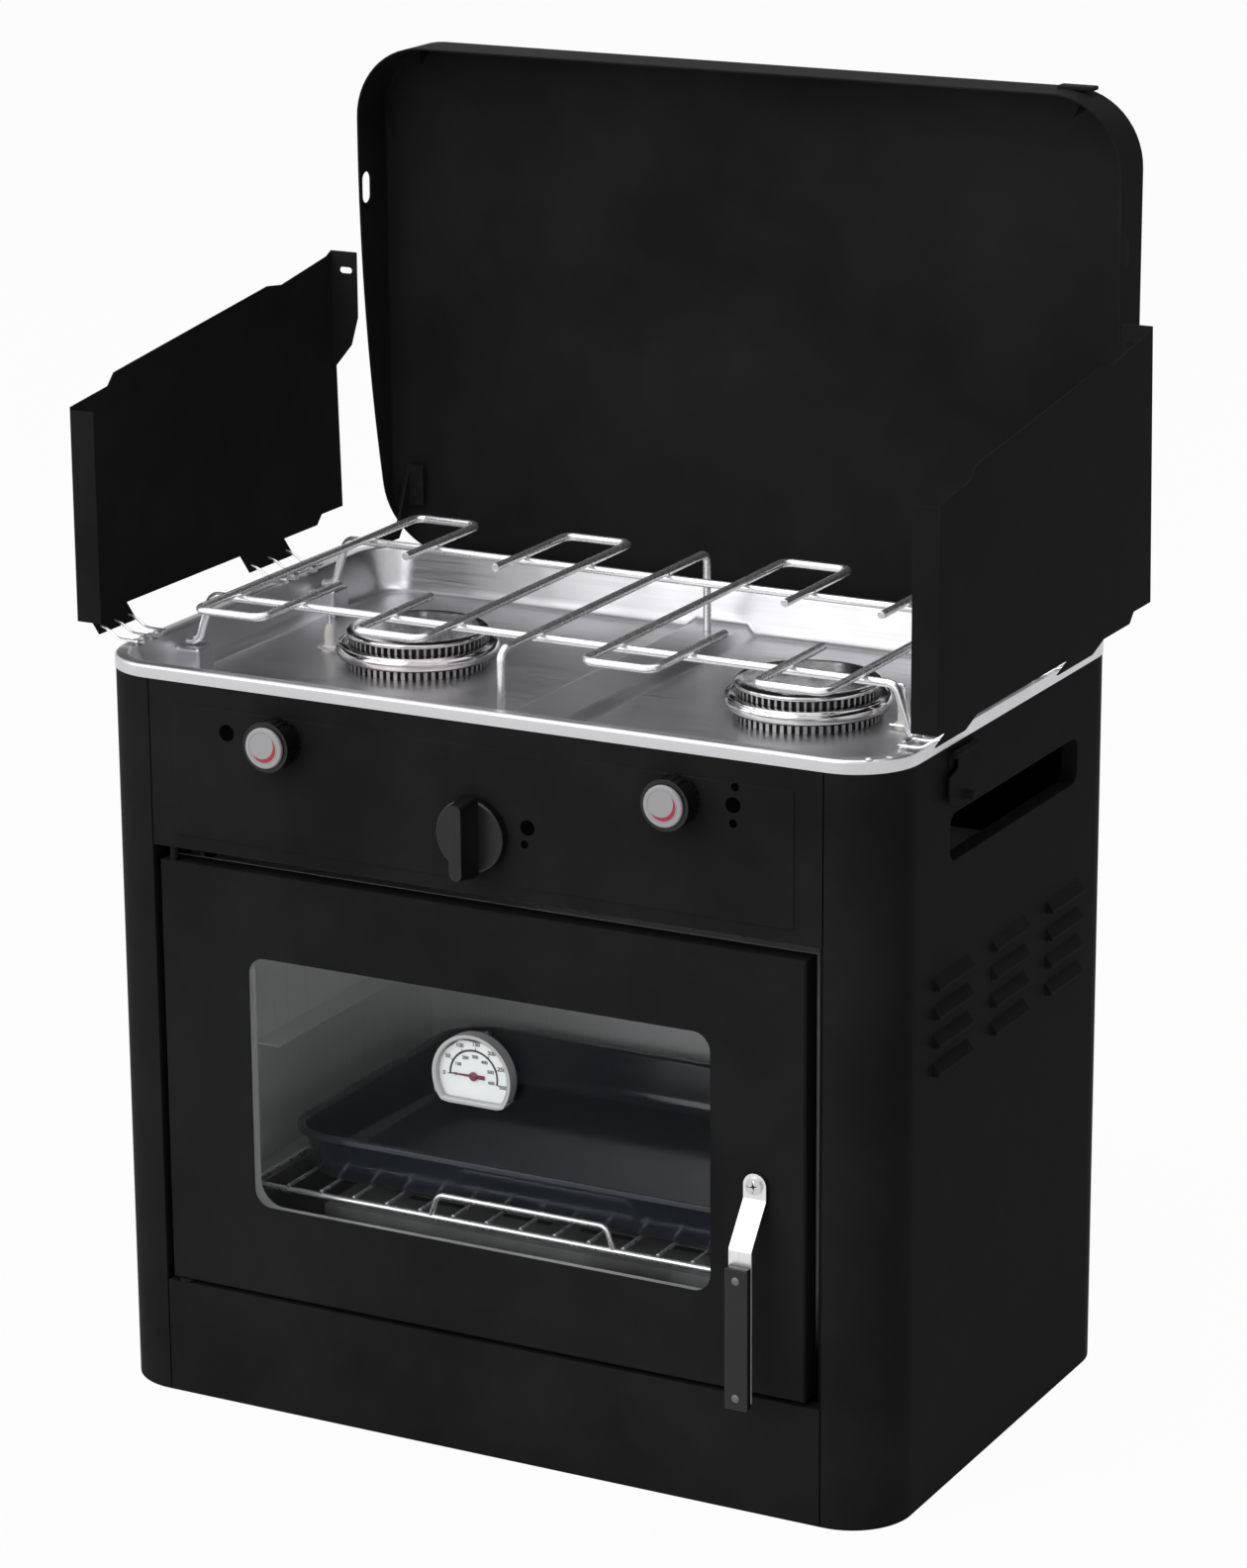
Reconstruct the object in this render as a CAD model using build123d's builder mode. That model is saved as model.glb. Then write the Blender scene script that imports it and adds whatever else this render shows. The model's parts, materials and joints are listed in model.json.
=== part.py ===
from build123d import *
from math import atan, cos, degrees, pi, radians, tan
import os

# A gas camping stove with two hob burners on top of a small oven.
# Millimetres. +Z is up, +X is to the right seen from the front, -Y is the front.
# The origin is the middle of the underside.

# Cabinet
width = 520.0
depth = 330.0
height = 451.0
corner = 38.0
sheet = 1.0
base_sheet = 1.0
seam_inset = 39.5
seam_gap = 0.8
return_depth = 14.0
return_notch = 12.0
panel_return = 11.0
latch_lip = 8.0
back_slot_rows = (120.0, 400.0)

# Fits
clearance = 0.3
running = 0.05
edge_break = 1.0
seat_gap = 0.1
weld = 0.3

# Hand holds in the sides
hold_length = 182.0
hold_height = 28.0
hold_middle = 395.5
hold_from_front = 173.0
hold_collar = 10.0

# Louvres in the sides
louvre_length = 46.0
louvre_rise = 8.0
louvre_reach = 4.5
louvre_pitch = 17.0
louvre_rows = 4
louvre_columns = 3
louvre_spacing = 80.0
louvre_low = 265.0

# Control panel and lower front panel
control_low = 349.0
lower_top = 72.0
emboss_margin = 17.5
emboss_low = 357.0
emboss_high = 438.0
emboss_rise = 0.8

# Door
door_left_gap = 4.5
door_right_gap = 10.5
door_low_gap = 2.5
door_top_gap = 9.0
door_depth = 15.0
door_bend = 1.2
window_side = 60.0
window_low_margin = 56.5
window_top_margin = 52.0
window_corner = 11.0
glass_thickness = 3.2
glass_lap = 10.0
gasket_thickness = 1.0
gasket_setback = 2.0
door_axis_inset = 8.0
door_axis_depth = 4.0
hinge_pin_radius = 2.5
hinge_washer_radius = 5.0

# Latch
latch_inset = 30.0
latch_z = 203.0
latch_width = 14.5
latch_sheet = 1.5
latch_standoff = 2.0
latch_bend_high = 194.0
latch_bend_low = 170.0
latch_reach = 20.5
grip_top = 161.0
grip_low = 75.0
grip_thickness = 5.5
rivet_radius = 1.75
latch_spindle_radius = 3.0
finger_length = 36.0
finger_width = 12.0
finger_sheet = 2.0

# Thermometer
gauge_x = -1.0
gauge_z = 239.7
gauge_radius = 26.0
gauge_flat = 17.0
gauge_front = 8.0
gauge_bezel = 2.5
gauge_well = 4.0
gauge_lens = 0.8
needle_tip = 13.0
needle_tail = 6.0
gauge_stem_radius = 3.0

# Controls
hob_knob_x = 130.0
hob_knob_z = 424.0
oven_knob_x = 0.0
oven_knob_z = 386.0
knob_gap = 2.2
hob_knob_radius = 15.0
hob_knob_length = 14.0
hob_cap_radius = 13.0
hob_cap_thickness = 2.5
oven_knob_radius = 22.0
oven_disc = 6.0
oven_grip_length = 50.0
oven_grip_width = 12.0
oven_grip_reach = 16.0
spindle_radius = 3.0

# Gas parts behind the control panel
valve_from_front = 18.0
valve_depth = 18.0
valve_width = 20.0
valve_neck_radius = 6.5
valve_half = 6.7
rail_z = 405.0
rail_square = 12.0
rail_left = -165.0
feed_inset = 60.0
pipe_radius = 4.0
inlet_radius = 6.0
inlet_projection = 20.0
inlet_nut = 6.0
inlet_flats = 9.0
mixing_radius = 8.0
mixing_z = 420.0
oven_pipe_inset = 32.0
oven_pipe_from_front = 60.0
oven_burner_z = 97.0
oven_burner_radius = 8.0

# Hob tray
rim_lap = 0.5
rim_height = 8.0
rim_width = 9.0
rim_roll = 1.4
tray_sheet = 1.0
basin_depth = 27.0
basin_draft = 10.0
basin_fold = 3.0
bridge_half = 18.0
bridge_rise = 5.0
bridge_slope = 6.0
ledge_drop = 9.5
ledge_half = 9.0
ledge_inset = 29.0

# Burners
burner_x = 131.5
burner_from_front = 163.0
burner_port_radius = 44.0
burner_port_height = 5.5
burner_ring_radius = 50.0
burner_ring_height = 9.0
burner_neck_radius = 38.0
burner_crown_radius = 42.0
burner_crown_height = 4.5
burner_cap_radius = 43.5
burner_cap_height = 3.5
burner_throat_radius = 24.0
burner_ports = 18
burner_port_low = 1.5
burner_port_width = 3.4

# Spark electrodes
spark_offset = 62.0
spark_radius = 4.0
spark_height = 17.0
spark_wire_radius = 0.9

# Pan support
support_wire = 2.5
support_rise = 27.5
support_front = 32.0
support_rear = 292.0
outer_run = 206.0
outer_return = 161.0
inner_run = 53.0
inner_return = 98.0
front_free_end = 122.0
rear_free_end = 200.0
cross_rod_front = 81.0
cross_rod_rear = 239.0
rod_bend_inset = 34.0
rod_foot_inset = 24.0
rod_end_inset = 16.0
wire_bend = 7.0

# Oven
liner_half = 205.0
liner_front = 21.0
liner_rear = 300.0
liner_low = 85.0
liner_top = 330.0
liner_flange = 8.0
bearer_x = 150.0
bearer_sheet = 1.5
bearer_foot = 14.0
rack_overlap = 4.0
rack_z = 124.0
rack_half = 190.0
rack_front = 48.0
rack_rear = 288.0
rack_frame_wire = 2.0
rack_wire = 1.3
rack_pitch = 23.0
rack_corner = 5.0
rack_handle_wire = 1.7
rack_handle_half = 62.0
rack_handle_rise = 15.0
upper_rail_rise = 80.0
upper_rail_front = 81.0
pan_half_x = 164.0
pan_half_y = 104.0
pan_height = 33.0
pan_lip = 8.0
pan_draft = 9.0
pan_corner = 26.0
pan_fold = 3.0
pan_sheet = 1.2
spreader_z = 108.0
spreader_half = 150.0
spreader_front = 70.0
spreader_rear = 280.0

# Lid, standing open
lid_inset = 1.3
lid_low = 447.0
lid_top = 780.0
lid_corner = 46.0
lid_sheet = 1.0
lid_mouth = 316.0
lid_shoulder = 352.0
lid_back = 357.0
lid_bevel = 31.0
lid_fold = 3.0
lid_straight = 60.0
lid_sweep_radius = 1103.0
lid_closed_front = 2.0
lid_closed_gap = 4.8
lid_hole_length = 20.0
lid_hole_height = 10.0
lid_tab_x = 220.0
lid_tab_length = 23.0
lid_tab_rise = 2.5

# Lid hinge
hinge_ear_inset = 14.0
hinge_ear_sheet = 1.5
hinge_ear_half = 5.0
arm_sheet = 2.0
arm_gap = 0.4
arm_width = 11.0
arm_foot_rise = 15.1
arm_foot_height = 26.0
arm_foot_width = 12.0
lid_pin_radius = 2.0

# Lid catches
catch_from_front = 93.5
catch_offset = 3.6
catch_drop = 5.0
catch_length = 30.5
catch_width = 44.0
catch_bump_radius = 3.2
catch_bump_reach = 26.5
catch_pin_radius = 1.25
catch_barrel_radius = 2.3
catch_bracket_half = 16.0
catch_bracket_knuckle = 5.0

# Windshields
shield_offset = 20.0
shield_sheet = 1.0
shield_front = 18.0
shield_low = 474.0
shield_front_top = 604.0
shield_front_lap = 16.0
shield_rear_lap = 19.0
shield_rear_top = 648.0
shield_rear_top_y = 316.5
shield_rear_low_y = 323.0
shield_steps = ((40.0, 5.0), (47.0, 12.0), (221.0, 34.0), (238.0, 32.0))
shield_corner = (6.0, 3.0)
shield_notch = (26.0, 32.0, 6.0)
shield_tab = (42.0, 60.0, 77.0)
shield_tab_lap = 14.0
shield_slot = (11.0, 12.0)
shield_slot_size = (9.0, 4.0)
shield_axis_inset = 10.0
shield_axis_rise = 2.2
shield_wire = 1.0
shield_arm = 0.9
shield_lug_low = 464.0
clip_front = (34.0, 66.0)
clip_rear = (203.0, 247.0)
saddle_width = 5.0
saddle_radius = 2.1
saddle_foot = 0.8

os.makedirs("parts", exist_ok=True)


# Places worked out from the sizes above
seam = width / 2 - seam_inset
emboss_half = seam - emboss_margin
door_left = door_left_gap - seam
door_right = seam - door_right_gap
door_low = lower_top + door_low_gap
door_top = control_low - door_top_gap
window_left = door_left + window_side
window_right = door_right - window_side
window_low = door_low + window_low_margin
window_top = door_top - window_top_margin
latch_x = door_right - latch_inset
feed_x = width / 2 - feed_inset
oven_pipe_x = width / 2 - oven_pipe_inset
ledge_inner = width / 2 - ledge_inset
rod_bend_x = width / 2 - rod_bend_inset
rod_foot_x = width / 2 - rod_foot_inset
rod_foot_end = width / 2 - rod_end_inset
ledge_width = liner_half - rack_half + rack_overlap
lid_half = width / 2 - lid_inset
lid_straight_low = lid_top - lid_straight
hinge_ear_x = width / 2 - hinge_ear_inset
catch_x = width / 2 + catch_offset
shield_x = width / 2 + shield_offset
shield_axis_x = width / 2 - shield_axis_inset
shield_front_flange = shield_x - shield_front_lap
shield_rear_flange = shield_x - shield_rear_lap
rim_top = height + rim_height
floor_top = rim_top - basin_depth
floor_low = floor_top - tray_sheet
bridge_top = floor_top + bridge_rise
ledge_top = rim_top - ledge_drop
door_axis_x = door_left + door_axis_inset
glass_front = sheet + gasket_thickness
lid_turn = (lid_top + lid_closed_front + rim_top + lid_closed_gap - lid_mouth) / 2
lid_turn_y = lid_top + lid_closed_front - lid_turn
arm_foot_low = lid_turn + arm_foot_rise
arm_foot_top = arm_foot_low + arm_foot_height
wire_z = rim_top + support_rise
catch_z = height - catch_drop
shield_axis_z = rim_top + shield_axis_rise


def from_front(distance):
    """The y of a point this far behind the cabinet's front."""
    return distance - depth / 2


def level(z):
    """A flat plane at this height."""
    return Plane.XY.offset(z)


def facing(distance):
    """An upright plane this far behind the front, looking out of the front."""
    return Plane.XZ.offset(-from_front(distance))


def abreast(x):
    """An upright plane at this x, looking to the right; its first axis is y and its second is z."""
    return Plane.YZ.offset(x)


def block(low, high, mode=Mode.ADD):
    """A rectangular block between two corners, put into the part being made."""
    size = [abs(b - a) for a, b in zip(low, high)]
    middle = [(a + b) / 2 for a, b in zip(low, high)]
    with Locations(tuple(middle)):
        Box(*size, mode=mode)


def rod(start, end, radius, mode=Mode.ADD):
    """A round bar between two points, put into the part being made."""
    axis = Vector(*end) - Vector(*start)
    middle = (Vector(*end) + Vector(*start)) / 2
    with Locations(Plane(origin=middle, z_dir=axis.normalized()).location):
        Cylinder(radius, axis.length, mode=mode)


def flat_reach(radius, sides):
    """How far the flats of a many-sided bar lie from its middle."""
    return radius * cos(pi / sides)


def section_plane(origin, direction):
    """The plane across a bar at its start, turned so that the bar's flats lie level or upright."""
    upright = abs(direction.Z) > 0.5
    return Plane(origin=origin, x_dir=(1, 0, 0) if upright else (0, 0, 1), z_dir=direction)


def bar(start, end, radius, sides=12, mode=Mode.ADD):
    """A many-sided bar between two points, put into the part being made."""
    axis = Vector(*end) - Vector(*start)
    with BuildSketch(section_plane(start, axis.normalized())) as section:
        RegularPolygon(radius, sides, rotation=180 / sides)
    extrude(section.sketch, amount=axis.length, mode=mode)


def wire(points, radius, bend=0, sides=6):
    """A wire along straight runs with its bends cut in flats, put into the part being made."""
    corners = [Vector(*point) for point in points]
    route = [corners[0]]
    for before, corner, after in zip(corners, corners[1:], corners[2:]):
        if not bend:
            route.append(corner)
            continue
        arrive = (corner - before).normalized()
        leave = (after - corner).normalized()
        half_turn = radians(arrive.get_angle(leave)) / 2
        middle = (leave - arrive).normalized() * (bend / cos(half_turn) - bend)
        set_back = bend * tan(half_turn)
        route += [corner - arrive * set_back, corner + middle, corner + leave * set_back]
    route.append(corners[-1])
    with BuildLine() as line:
        Polyline(*route)
    with BuildSketch(section_plane(route[0], (route[1] - route[0]).normalized())) as section:
        RegularPolygon(radius, sides, rotation=180 / sides)
    sweep(sections=section.sketch, path=line.wire(), transition=Transition.RIGHT)


def drafted(size, radius, plane, run, slope, mode=Mode.ADD):
    """A block with rounded corners that narrows away from its plane, put into the part being made."""
    with BuildSketch(plane) as mouth:
        RectangleRounded(*size, radius)
    extrude(mouth.sketch, amount=-run, taper=degrees(atan(slope)), mode=mode)


def finish(piece, label):
    """Name a finished piece and write it."""
    piece.label = label
    export_step(piece, f"parts/{label}.step")


# Base panel
with BuildPart() as base_panel:
    with BuildSketch(level(0)):
        RectangleRounded(width, depth, corner)
        with GridLocations(60, 24, 5, 2):
            Rectangle(40, 6, mode=Mode.SUBTRACT)
    extrude(amount=base_sheet)
finish(base_panel.part, "base_panel")


# Side panels, each one sheet wrapped from the front seam to the back seam
def louvre_profile(side, z, grow):
    """The section of one louvre's hood, or of its hollow when grow is negative."""
    skin = width / 2
    high = z + louvre_rise / 2 + grow
    low = z - louvre_rise / 2 - (0 if grow == 0 else 1)
    inner = skin - sheet / 2 if grow == 0 else skin - 2 * sheet
    outer = skin + louvre_reach + grow
    with BuildLine() as outline:
        Polyline(
            (side * inner, high),
            (side * inner, low),
            (side * outer, low),
            (side * outer, low + louvre_rise / 4),
            (side * (skin + grow), high),
            close=True,
        )
    make_face(outline.edges())


def louvres(side, grow, mode):
    """All louvres of one side, as hoods or as the hollows under them."""
    half = louvre_length / 2 + sheet + grow
    for column in range(louvre_columns):
        middle = depth / 2 + (column - (louvre_columns - 1) / 2) * louvre_spacing
        with BuildSketch(facing(middle + half)) as profiles:
            for row in range(louvre_rows):
                louvre_profile(side, louvre_low + row * louvre_pitch, grow)
        extrude(profiles.sketch, amount=2 * half, mode=mode)


for side, word in ((-1, "left"), (1, "right")):
    with BuildPart() as side_panel:
        with BuildSketch(level(base_sheet)):
            RectangleRounded(width, depth, corner)
            RectangleRounded(width - 2 * sheet, depth - 2 * sheet, corner - sheet, mode=Mode.SUBTRACT)
            with Locations((side * (seam + width / 2) / 2, 0)):
                Rectangle(width / 2 - seam, depth, mode=Mode.INTERSECT)
        extrude(amount=height - base_sheet)
        with BuildSketch(level(base_sheet)):
            for end in (return_depth / 2, depth - return_depth / 2):
                with Locations((side * (seam + sheet / 2), from_front(end))):
                    Rectangle(sheet, return_depth)
            if side > 0:
                with Locations((seam - latch_lip / 2 + sheet / 2, from_front(return_depth - sheet / 2))):
                    Rectangle(latch_lip + sheet, sheet)
        extrude(amount=height - base_sheet - return_notch)
        with BuildSketch(abreast(side * (width / 2 - sheet / 2))):
            with Locations((from_front(hold_from_front), hold_middle)):
                RectangleRounded(hold_length + 2 * sheet, hold_height + 2 * sheet, hold_height / 4 + sheet)
        extrude(amount=-side * hold_collar)
        with BuildSketch(abreast(side * (width / 2 + sheet))):
            with Locations((from_front(hold_from_front), hold_middle)):
                RectangleRounded(hold_length, hold_height, hold_height / 4)
        extrude(amount=-side * (hold_collar + 4 * sheet), mode=Mode.SUBTRACT)
        louvres(side, 0, Mode.ADD)
        louvres(side, -sheet, Mode.SUBTRACT)
    finish(side_panel.part, f"{word}_side_panel")


# Back panel
with BuildPart() as back_panel:
    with BuildSketch(facing(depth)):
        with Locations((0, (height + base_sheet) / 2)):
            Rectangle(2 * (seam - seam_gap), height - base_sheet)
        for slots_z in back_slot_rows:
            with Locations((0, slots_z)):
                with GridLocations(58, 12, 5, 2):
                    Rectangle(44, 4, mode=Mode.SUBTRACT)
        with Locations((feed_x, rail_z)):
            Circle(inlet_radius + clearance, mode=Mode.SUBTRACT)
    extrude(amount=sheet)
    with BuildSketch(level(base_sheet)):
        for side in (-1, 1):
            with Locations((side * (seam - seam_gap - sheet / 2), from_front(depth - panel_return / 2))):
                Rectangle(sheet, panel_return)
    extrude(amount=height - base_sheet)
finish(back_panel.part, "back_panel")


def front_panel_tray(low, high, fold):
    """A front panel's skin with its two side returns and one fold at the given level."""
    half = seam - seam_gap
    with BuildSketch(level(low)) as walls:
        with Locations((0, from_front(sheet / 2))):
            Rectangle(2 * half, sheet)
        for side in (-1, 1):
            with Locations((side * (half - sheet / 2), from_front(panel_return / 2))):
                Rectangle(sheet, panel_return)
    extrude(walls.sketch, amount=high - low)
    with BuildSketch(level(fold)) as shelf:
        with Locations((0, from_front(panel_return / 2))):
            Rectangle(2 * half, panel_return)
        with Locations((door_axis_x, from_front(door_axis_depth))):
            Circle(hinge_pin_radius + running, mode=Mode.SUBTRACT)
    extrude(shelf.sketch, amount=sheet)


# Control panel with its raised field
with BuildPart() as control_panel:
    front_panel_tray(control_low, height, control_low)
    with BuildSketch(facing(0)):
        with Locations((0, (emboss_low + emboss_high) / 2)):
            Rectangle(2 * emboss_half, emboss_high - emboss_low)
    extrude(amount=emboss_rise, taper=45)
    with BuildSketch(facing(2 * sheet)):
        with Locations((-hob_knob_x, hob_knob_z), (hob_knob_x, hob_knob_z), (oven_knob_x, oven_knob_z)):
            RegularPolygon(1.5 * spindle_radius, 12)
    extrude(amount=5 * sheet, mode=Mode.SUBTRACT)
finish(control_panel.part, "control_panel")


# Panel below the door
with BuildPart() as lower_front_panel:
    front_panel_tray(base_sheet, lower_top, lower_top - sheet)
finish(lower_front_panel.part, "lower_front_panel")


# Door: outer pan, inner panel with its collar, glass and gasket
door_middle = ((door_left + door_right) / 2, (door_low + door_top) / 2)
door_size = (door_right - door_left, door_top - door_low)
window_middle = ((window_left + window_right) / 2, (window_low + window_top) / 2)
window_size = (window_right - window_left, window_top - window_low)


def window_shape(margin, mode=Mode.ADD):
    """The window's outline, this much larger all round."""
    with Locations(window_middle):
        RectangleRounded(
            window_size[0] + 2 * margin, window_size[1] + 2 * margin, window_corner + margin, mode=mode
        )


with BuildPart() as door_outer_panel:
    with BuildSketch(facing(door_depth)):
        with Locations(door_middle):
            Rectangle(*door_size)
    extrude(amount=door_depth)
    chamfer(door_outer_panel.faces().sort_by(Axis.Y)[0].edges(), length=door_bend)
    with BuildSketch(facing(door_depth)):
        with Locations(door_middle):
            Rectangle(door_size[0] - 2 * sheet, door_size[1] - 2 * sheet)
    extrude(amount=door_depth - sheet, mode=Mode.SUBTRACT)
    with BuildSketch(facing(2 * sheet)):
        window_shape(0)
        with Locations((latch_x, latch_z)):
            Circle(latch_spindle_radius + running)
    extrude(amount=4 * sheet, mode=Mode.SUBTRACT)
finish(door_outer_panel.part, "door_outer_panel")

with BuildPart() as door_inner_panel:
    with BuildSketch(facing(door_depth + sheet)):
        with Locations(door_middle):
            Rectangle(*door_size)
    extrude(amount=sheet)
    glass_rear = glass_front + glass_thickness
    with BuildSketch(facing(door_depth)):
        window_shape(glass_lap / 2 + sheet)
    extrude(amount=door_depth - glass_rear)
    with BuildSketch(facing(door_depth + 2 * sheet)):
        window_shape(glass_lap / 2)
        with Locations((latch_x, latch_z)):
            Circle(latch_spindle_radius + running)
    extrude(amount=door_depth, mode=Mode.SUBTRACT)
finish(door_inner_panel.part, "door_inner_panel")

with BuildPart() as door_glass:
    with BuildSketch(facing(glass_front + glass_thickness)):
        window_shape(glass_lap)
        with Locations((gauge_x, gauge_z)):
            RegularPolygon(gauge_stem_radius + clearance, 12, mode=Mode.SUBTRACT)
    extrude(amount=glass_thickness)
finish(door_glass.part, "door_glass")

with BuildPart() as glass_gasket:
    with BuildSketch(facing(glass_front)):
        window_shape(glass_lap)
        window_shape(gasket_setback, mode=Mode.SUBTRACT)
    extrude(amount=gasket_thickness)
finish(glass_gasket.part, "glass_gasket")


# Door hinge pins: one up into the control panel, one down into the lower panel
with BuildPart() as door_hinge_pins:
    pin_y = from_front(door_axis_depth)
    rod((door_axis_x, pin_y, door_top), (door_axis_x, pin_y, control_low + 2 * sheet), hinge_pin_radius)
    rod((door_axis_x, pin_y, lower_top - 2 * sheet), (door_axis_x, pin_y, door_low), hinge_pin_radius)
    washer_low = lower_top + clearance
    bar((door_axis_x, pin_y, washer_low), (door_axis_x, pin_y, door_low), hinge_washer_radius)
finish(door_hinge_pins.part, "door_hinge_pins")


# Latch: bent strip with two rivets, grip, and the spindle with its inner finger
with BuildPart() as latch_strip:
    near = -latch_standoff
    far = -latch_reach
    with BuildSketch(abreast(latch_x - latch_width / 2)):
        with BuildLine():
            Polyline(
                (from_front(near), latch_z + latch_width / 2),
                (from_front(near), latch_bend_high),
                (from_front(far), latch_bend_low),
                (from_front(far), grip_low + 3),
                (from_front(far - latch_sheet), grip_low + 3),
                (from_front(far - latch_sheet), latch_bend_low + latch_sheet / 2),
                (from_front(near - latch_sheet), latch_bend_high + latch_sheet / 2),
                (from_front(near - latch_sheet), latch_z + latch_width / 2),
                close=True,
            )
        make_face()
    extrude(amount=latch_width)
    top_corners = latch_strip.edges().filter_by(Axis.Y).group_by(Axis.Z)[-1]
    chamfer(top_corners, length=latch_width / 3)
    rod(
        (latch_x, from_front(near + 1), latch_z),
        (latch_x, from_front(near - 2 * latch_sheet), latch_z),
        latch_spindle_radius + running,
        mode=Mode.SUBTRACT,
    )
    for rivet_z in (grip_top - latch_width / 2, grip_low + latch_width / 2):
        grip_face = far - latch_sheet - grip_thickness
        rivet_back = (latch_x, from_front(far - latch_sheet / 2), rivet_z)
        bar(rivet_back, (latch_x, from_front(grip_face), rivet_z), rivet_radius, sides=8)
        bar(
            (latch_x, from_front(grip_face), rivet_z),
            (latch_x, from_front(grip_face - 0.8), rivet_z),
            1.5 * rivet_radius,
        )
finish(latch_strip.part, "latch_strip")

with BuildPart() as latch_grip:
    with BuildSketch(facing(-latch_reach - latch_sheet)):
        with Locations((latch_x, (grip_top + grip_low) / 2)):
            Rectangle(latch_width, grip_top - grip_low)
    extrude(amount=grip_thickness)
    chamfer(latch_grip.faces().sort_by(Axis.Y)[0].edges(), length=1.2)
    for rivet_z in (grip_top - latch_width / 2, grip_low + latch_width / 2):
        bar(
            (latch_x, from_front(-latch_reach), rivet_z),
            (latch_x, from_front(-latch_reach - 2 * grip_thickness), rivet_z),
            rivet_radius + running,
            sides=8,
            mode=Mode.SUBTRACT,
        )
finish(latch_grip.part, "latch_grip")

with BuildPart() as latch_spindle:
    head_back = -latch_standoff - latch_sheet
    finger_front = door_depth + sheet + 1
    head = (latch_x, from_front(head_back), latch_z)
    rod(head, (latch_x, from_front(finger_front + finger_sheet), latch_z), latch_spindle_radius)
    bar(head, (latch_x, from_front(head_back - 2), latch_z), 1.7 * latch_spindle_radius)
    bar(
        (latch_x, from_front(-latch_standoff), latch_z),
        (latch_x, from_front(-clearance), latch_z),
        1.5 * latch_spindle_radius,
    )
    with BuildSketch(facing(finger_front + finger_sheet)):
        with Locations((latch_x, latch_z + (finger_length - finger_width / 2) / 2)):
            Rectangle(finger_width, finger_length + finger_width / 2)
    extrude(amount=finger_sheet)
    finger_corners = latch_spindle.edges().filter_by(Axis.Y).group_by(Axis.Z)[-1]
    chamfer(finger_corners, length=finger_width / 3)
    slot_plane = facing(head_back - 1)
    with BuildSketch(slot_plane):
        with Locations((latch_x, latch_z)):
            Rectangle(1.2, 8)
            Rectangle(8, 1.2)
    extrude(amount=2, mode=Mode.SUBTRACT)
finish(latch_spindle.part, "latch_spindle")


# Thermometer on the glass: a round case with a flat foot, its dial, needle and lens
def gauge_shape(radius, flat):
    """A disc cut flat below its middle, drawn around the thermometer's centre."""
    with Locations((gauge_x, gauge_z)):
        RegularPolygon(radius, 36)
    with Locations((gauge_x, gauge_z + radius - flat)):
        Rectangle(4 * radius, 2 * radius, mode=Mode.INTERSECT)


needle_hole = 1.0
dial_front = gauge_front - gauge_well + 0.4

with BuildPart() as thermometer_case:
    with BuildSketch(facing(glass_front)):
        gauge_shape(gauge_radius, gauge_flat)
    extrude(amount=glass_front + gauge_front - edge_break)
    with BuildSketch(facing(edge_break - gauge_front)):
        gauge_shape(gauge_radius, gauge_flat)
    extrude(amount=edge_break, taper=45)
    with BuildSketch(facing(-gauge_front + gauge_well)):
        gauge_shape(gauge_radius - gauge_bezel, gauge_flat - gauge_bezel)
    extrude(amount=2 * gauge_well, mode=Mode.SUBTRACT)
    bar(
        (gauge_x, from_front(glass_front), gauge_z),
        (gauge_x, from_front(door_depth - 2), gauge_z),
        gauge_stem_radius,
    )
    rod(
        (gauge_x, from_front(glass_front - 2), gauge_z),
        (gauge_x, from_front(-gauge_front), gauge_z),
        needle_hole + running,
        mode=Mode.SUBTRACT,
    )
finish(thermometer_case.part, "thermometer_case")

with BuildPart() as thermometer_dial:
    with BuildSketch(facing(-gauge_front + gauge_well)):
        gauge_shape(gauge_radius - gauge_bezel - running, gauge_flat - gauge_bezel - running)
        with Locations((gauge_x, gauge_z)):
            RegularPolygon(2 * needle_hole, 12, mode=Mode.SUBTRACT)
    extrude(amount=0.4)
finish(thermometer_dial.part, "thermometer_dial")

with BuildPart() as thermometer_needle:
    needle_y = -dial_front - 0.6
    with BuildSketch(facing(needle_y)):
        with BuildLine():
            Polyline(
                (gauge_x - needle_tip, gauge_z),
                (gauge_x, gauge_z + 1.3),
                (gauge_x + needle_tail, gauge_z + 0.7),
                (gauge_x + needle_tail, gauge_z - 0.7),
                (gauge_x, gauge_z - 1.3),
                close=True,
            )
        make_face()
        with Locations((gauge_x, gauge_z)):
            RegularPolygon(2.4, 12)
    extrude(amount=0.5)
    rod(
        (gauge_x, from_front(needle_y), gauge_z),
        (gauge_x, from_front(glass_front - 2.2), gauge_z),
        needle_hole,
    )
finish(thermometer_needle.part, "thermometer_needle")

with BuildPart() as thermometer_lens:
    with BuildSketch(facing(-gauge_front + gauge_lens + 0.4)):
        gauge_shape(gauge_radius - gauge_bezel - running, gauge_flat - gauge_bezel - running)
    extrude(amount=gauge_lens)
finish(thermometer_lens.part, "thermometer_lens")


# Hob knobs, fluted, with their bright caps
spindle_end = valve_from_front + valve_depth - 2
for x, word in ((-hob_knob_x, "left"), (hob_knob_x, "right")):
    knob_front = -knob_gap - hob_knob_length
    with BuildPart() as hob_knob:
        with BuildSketch(facing(-knob_gap)):
            with Locations((x, hob_knob_z)):
                RegularPolygon(hob_knob_radius, 24)
        extrude(amount=hob_knob_length)
        rod(
            (x, from_front(-knob_gap), hob_knob_z),
            (x, from_front(spindle_end - running), hob_knob_z),
            spindle_radius,
        )
    finish(hob_knob.part, f"{word}_hob_knob")
    with BuildPart() as knob_cap:
        with BuildSketch(facing(knob_front)):
            with Locations((x, hob_knob_z)):
                RegularPolygon(hob_cap_radius, 24)
        extrude(amount=hob_cap_thickness, taper=25)
    finish(knob_cap.part, f"{word}_knob_cap")


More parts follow.
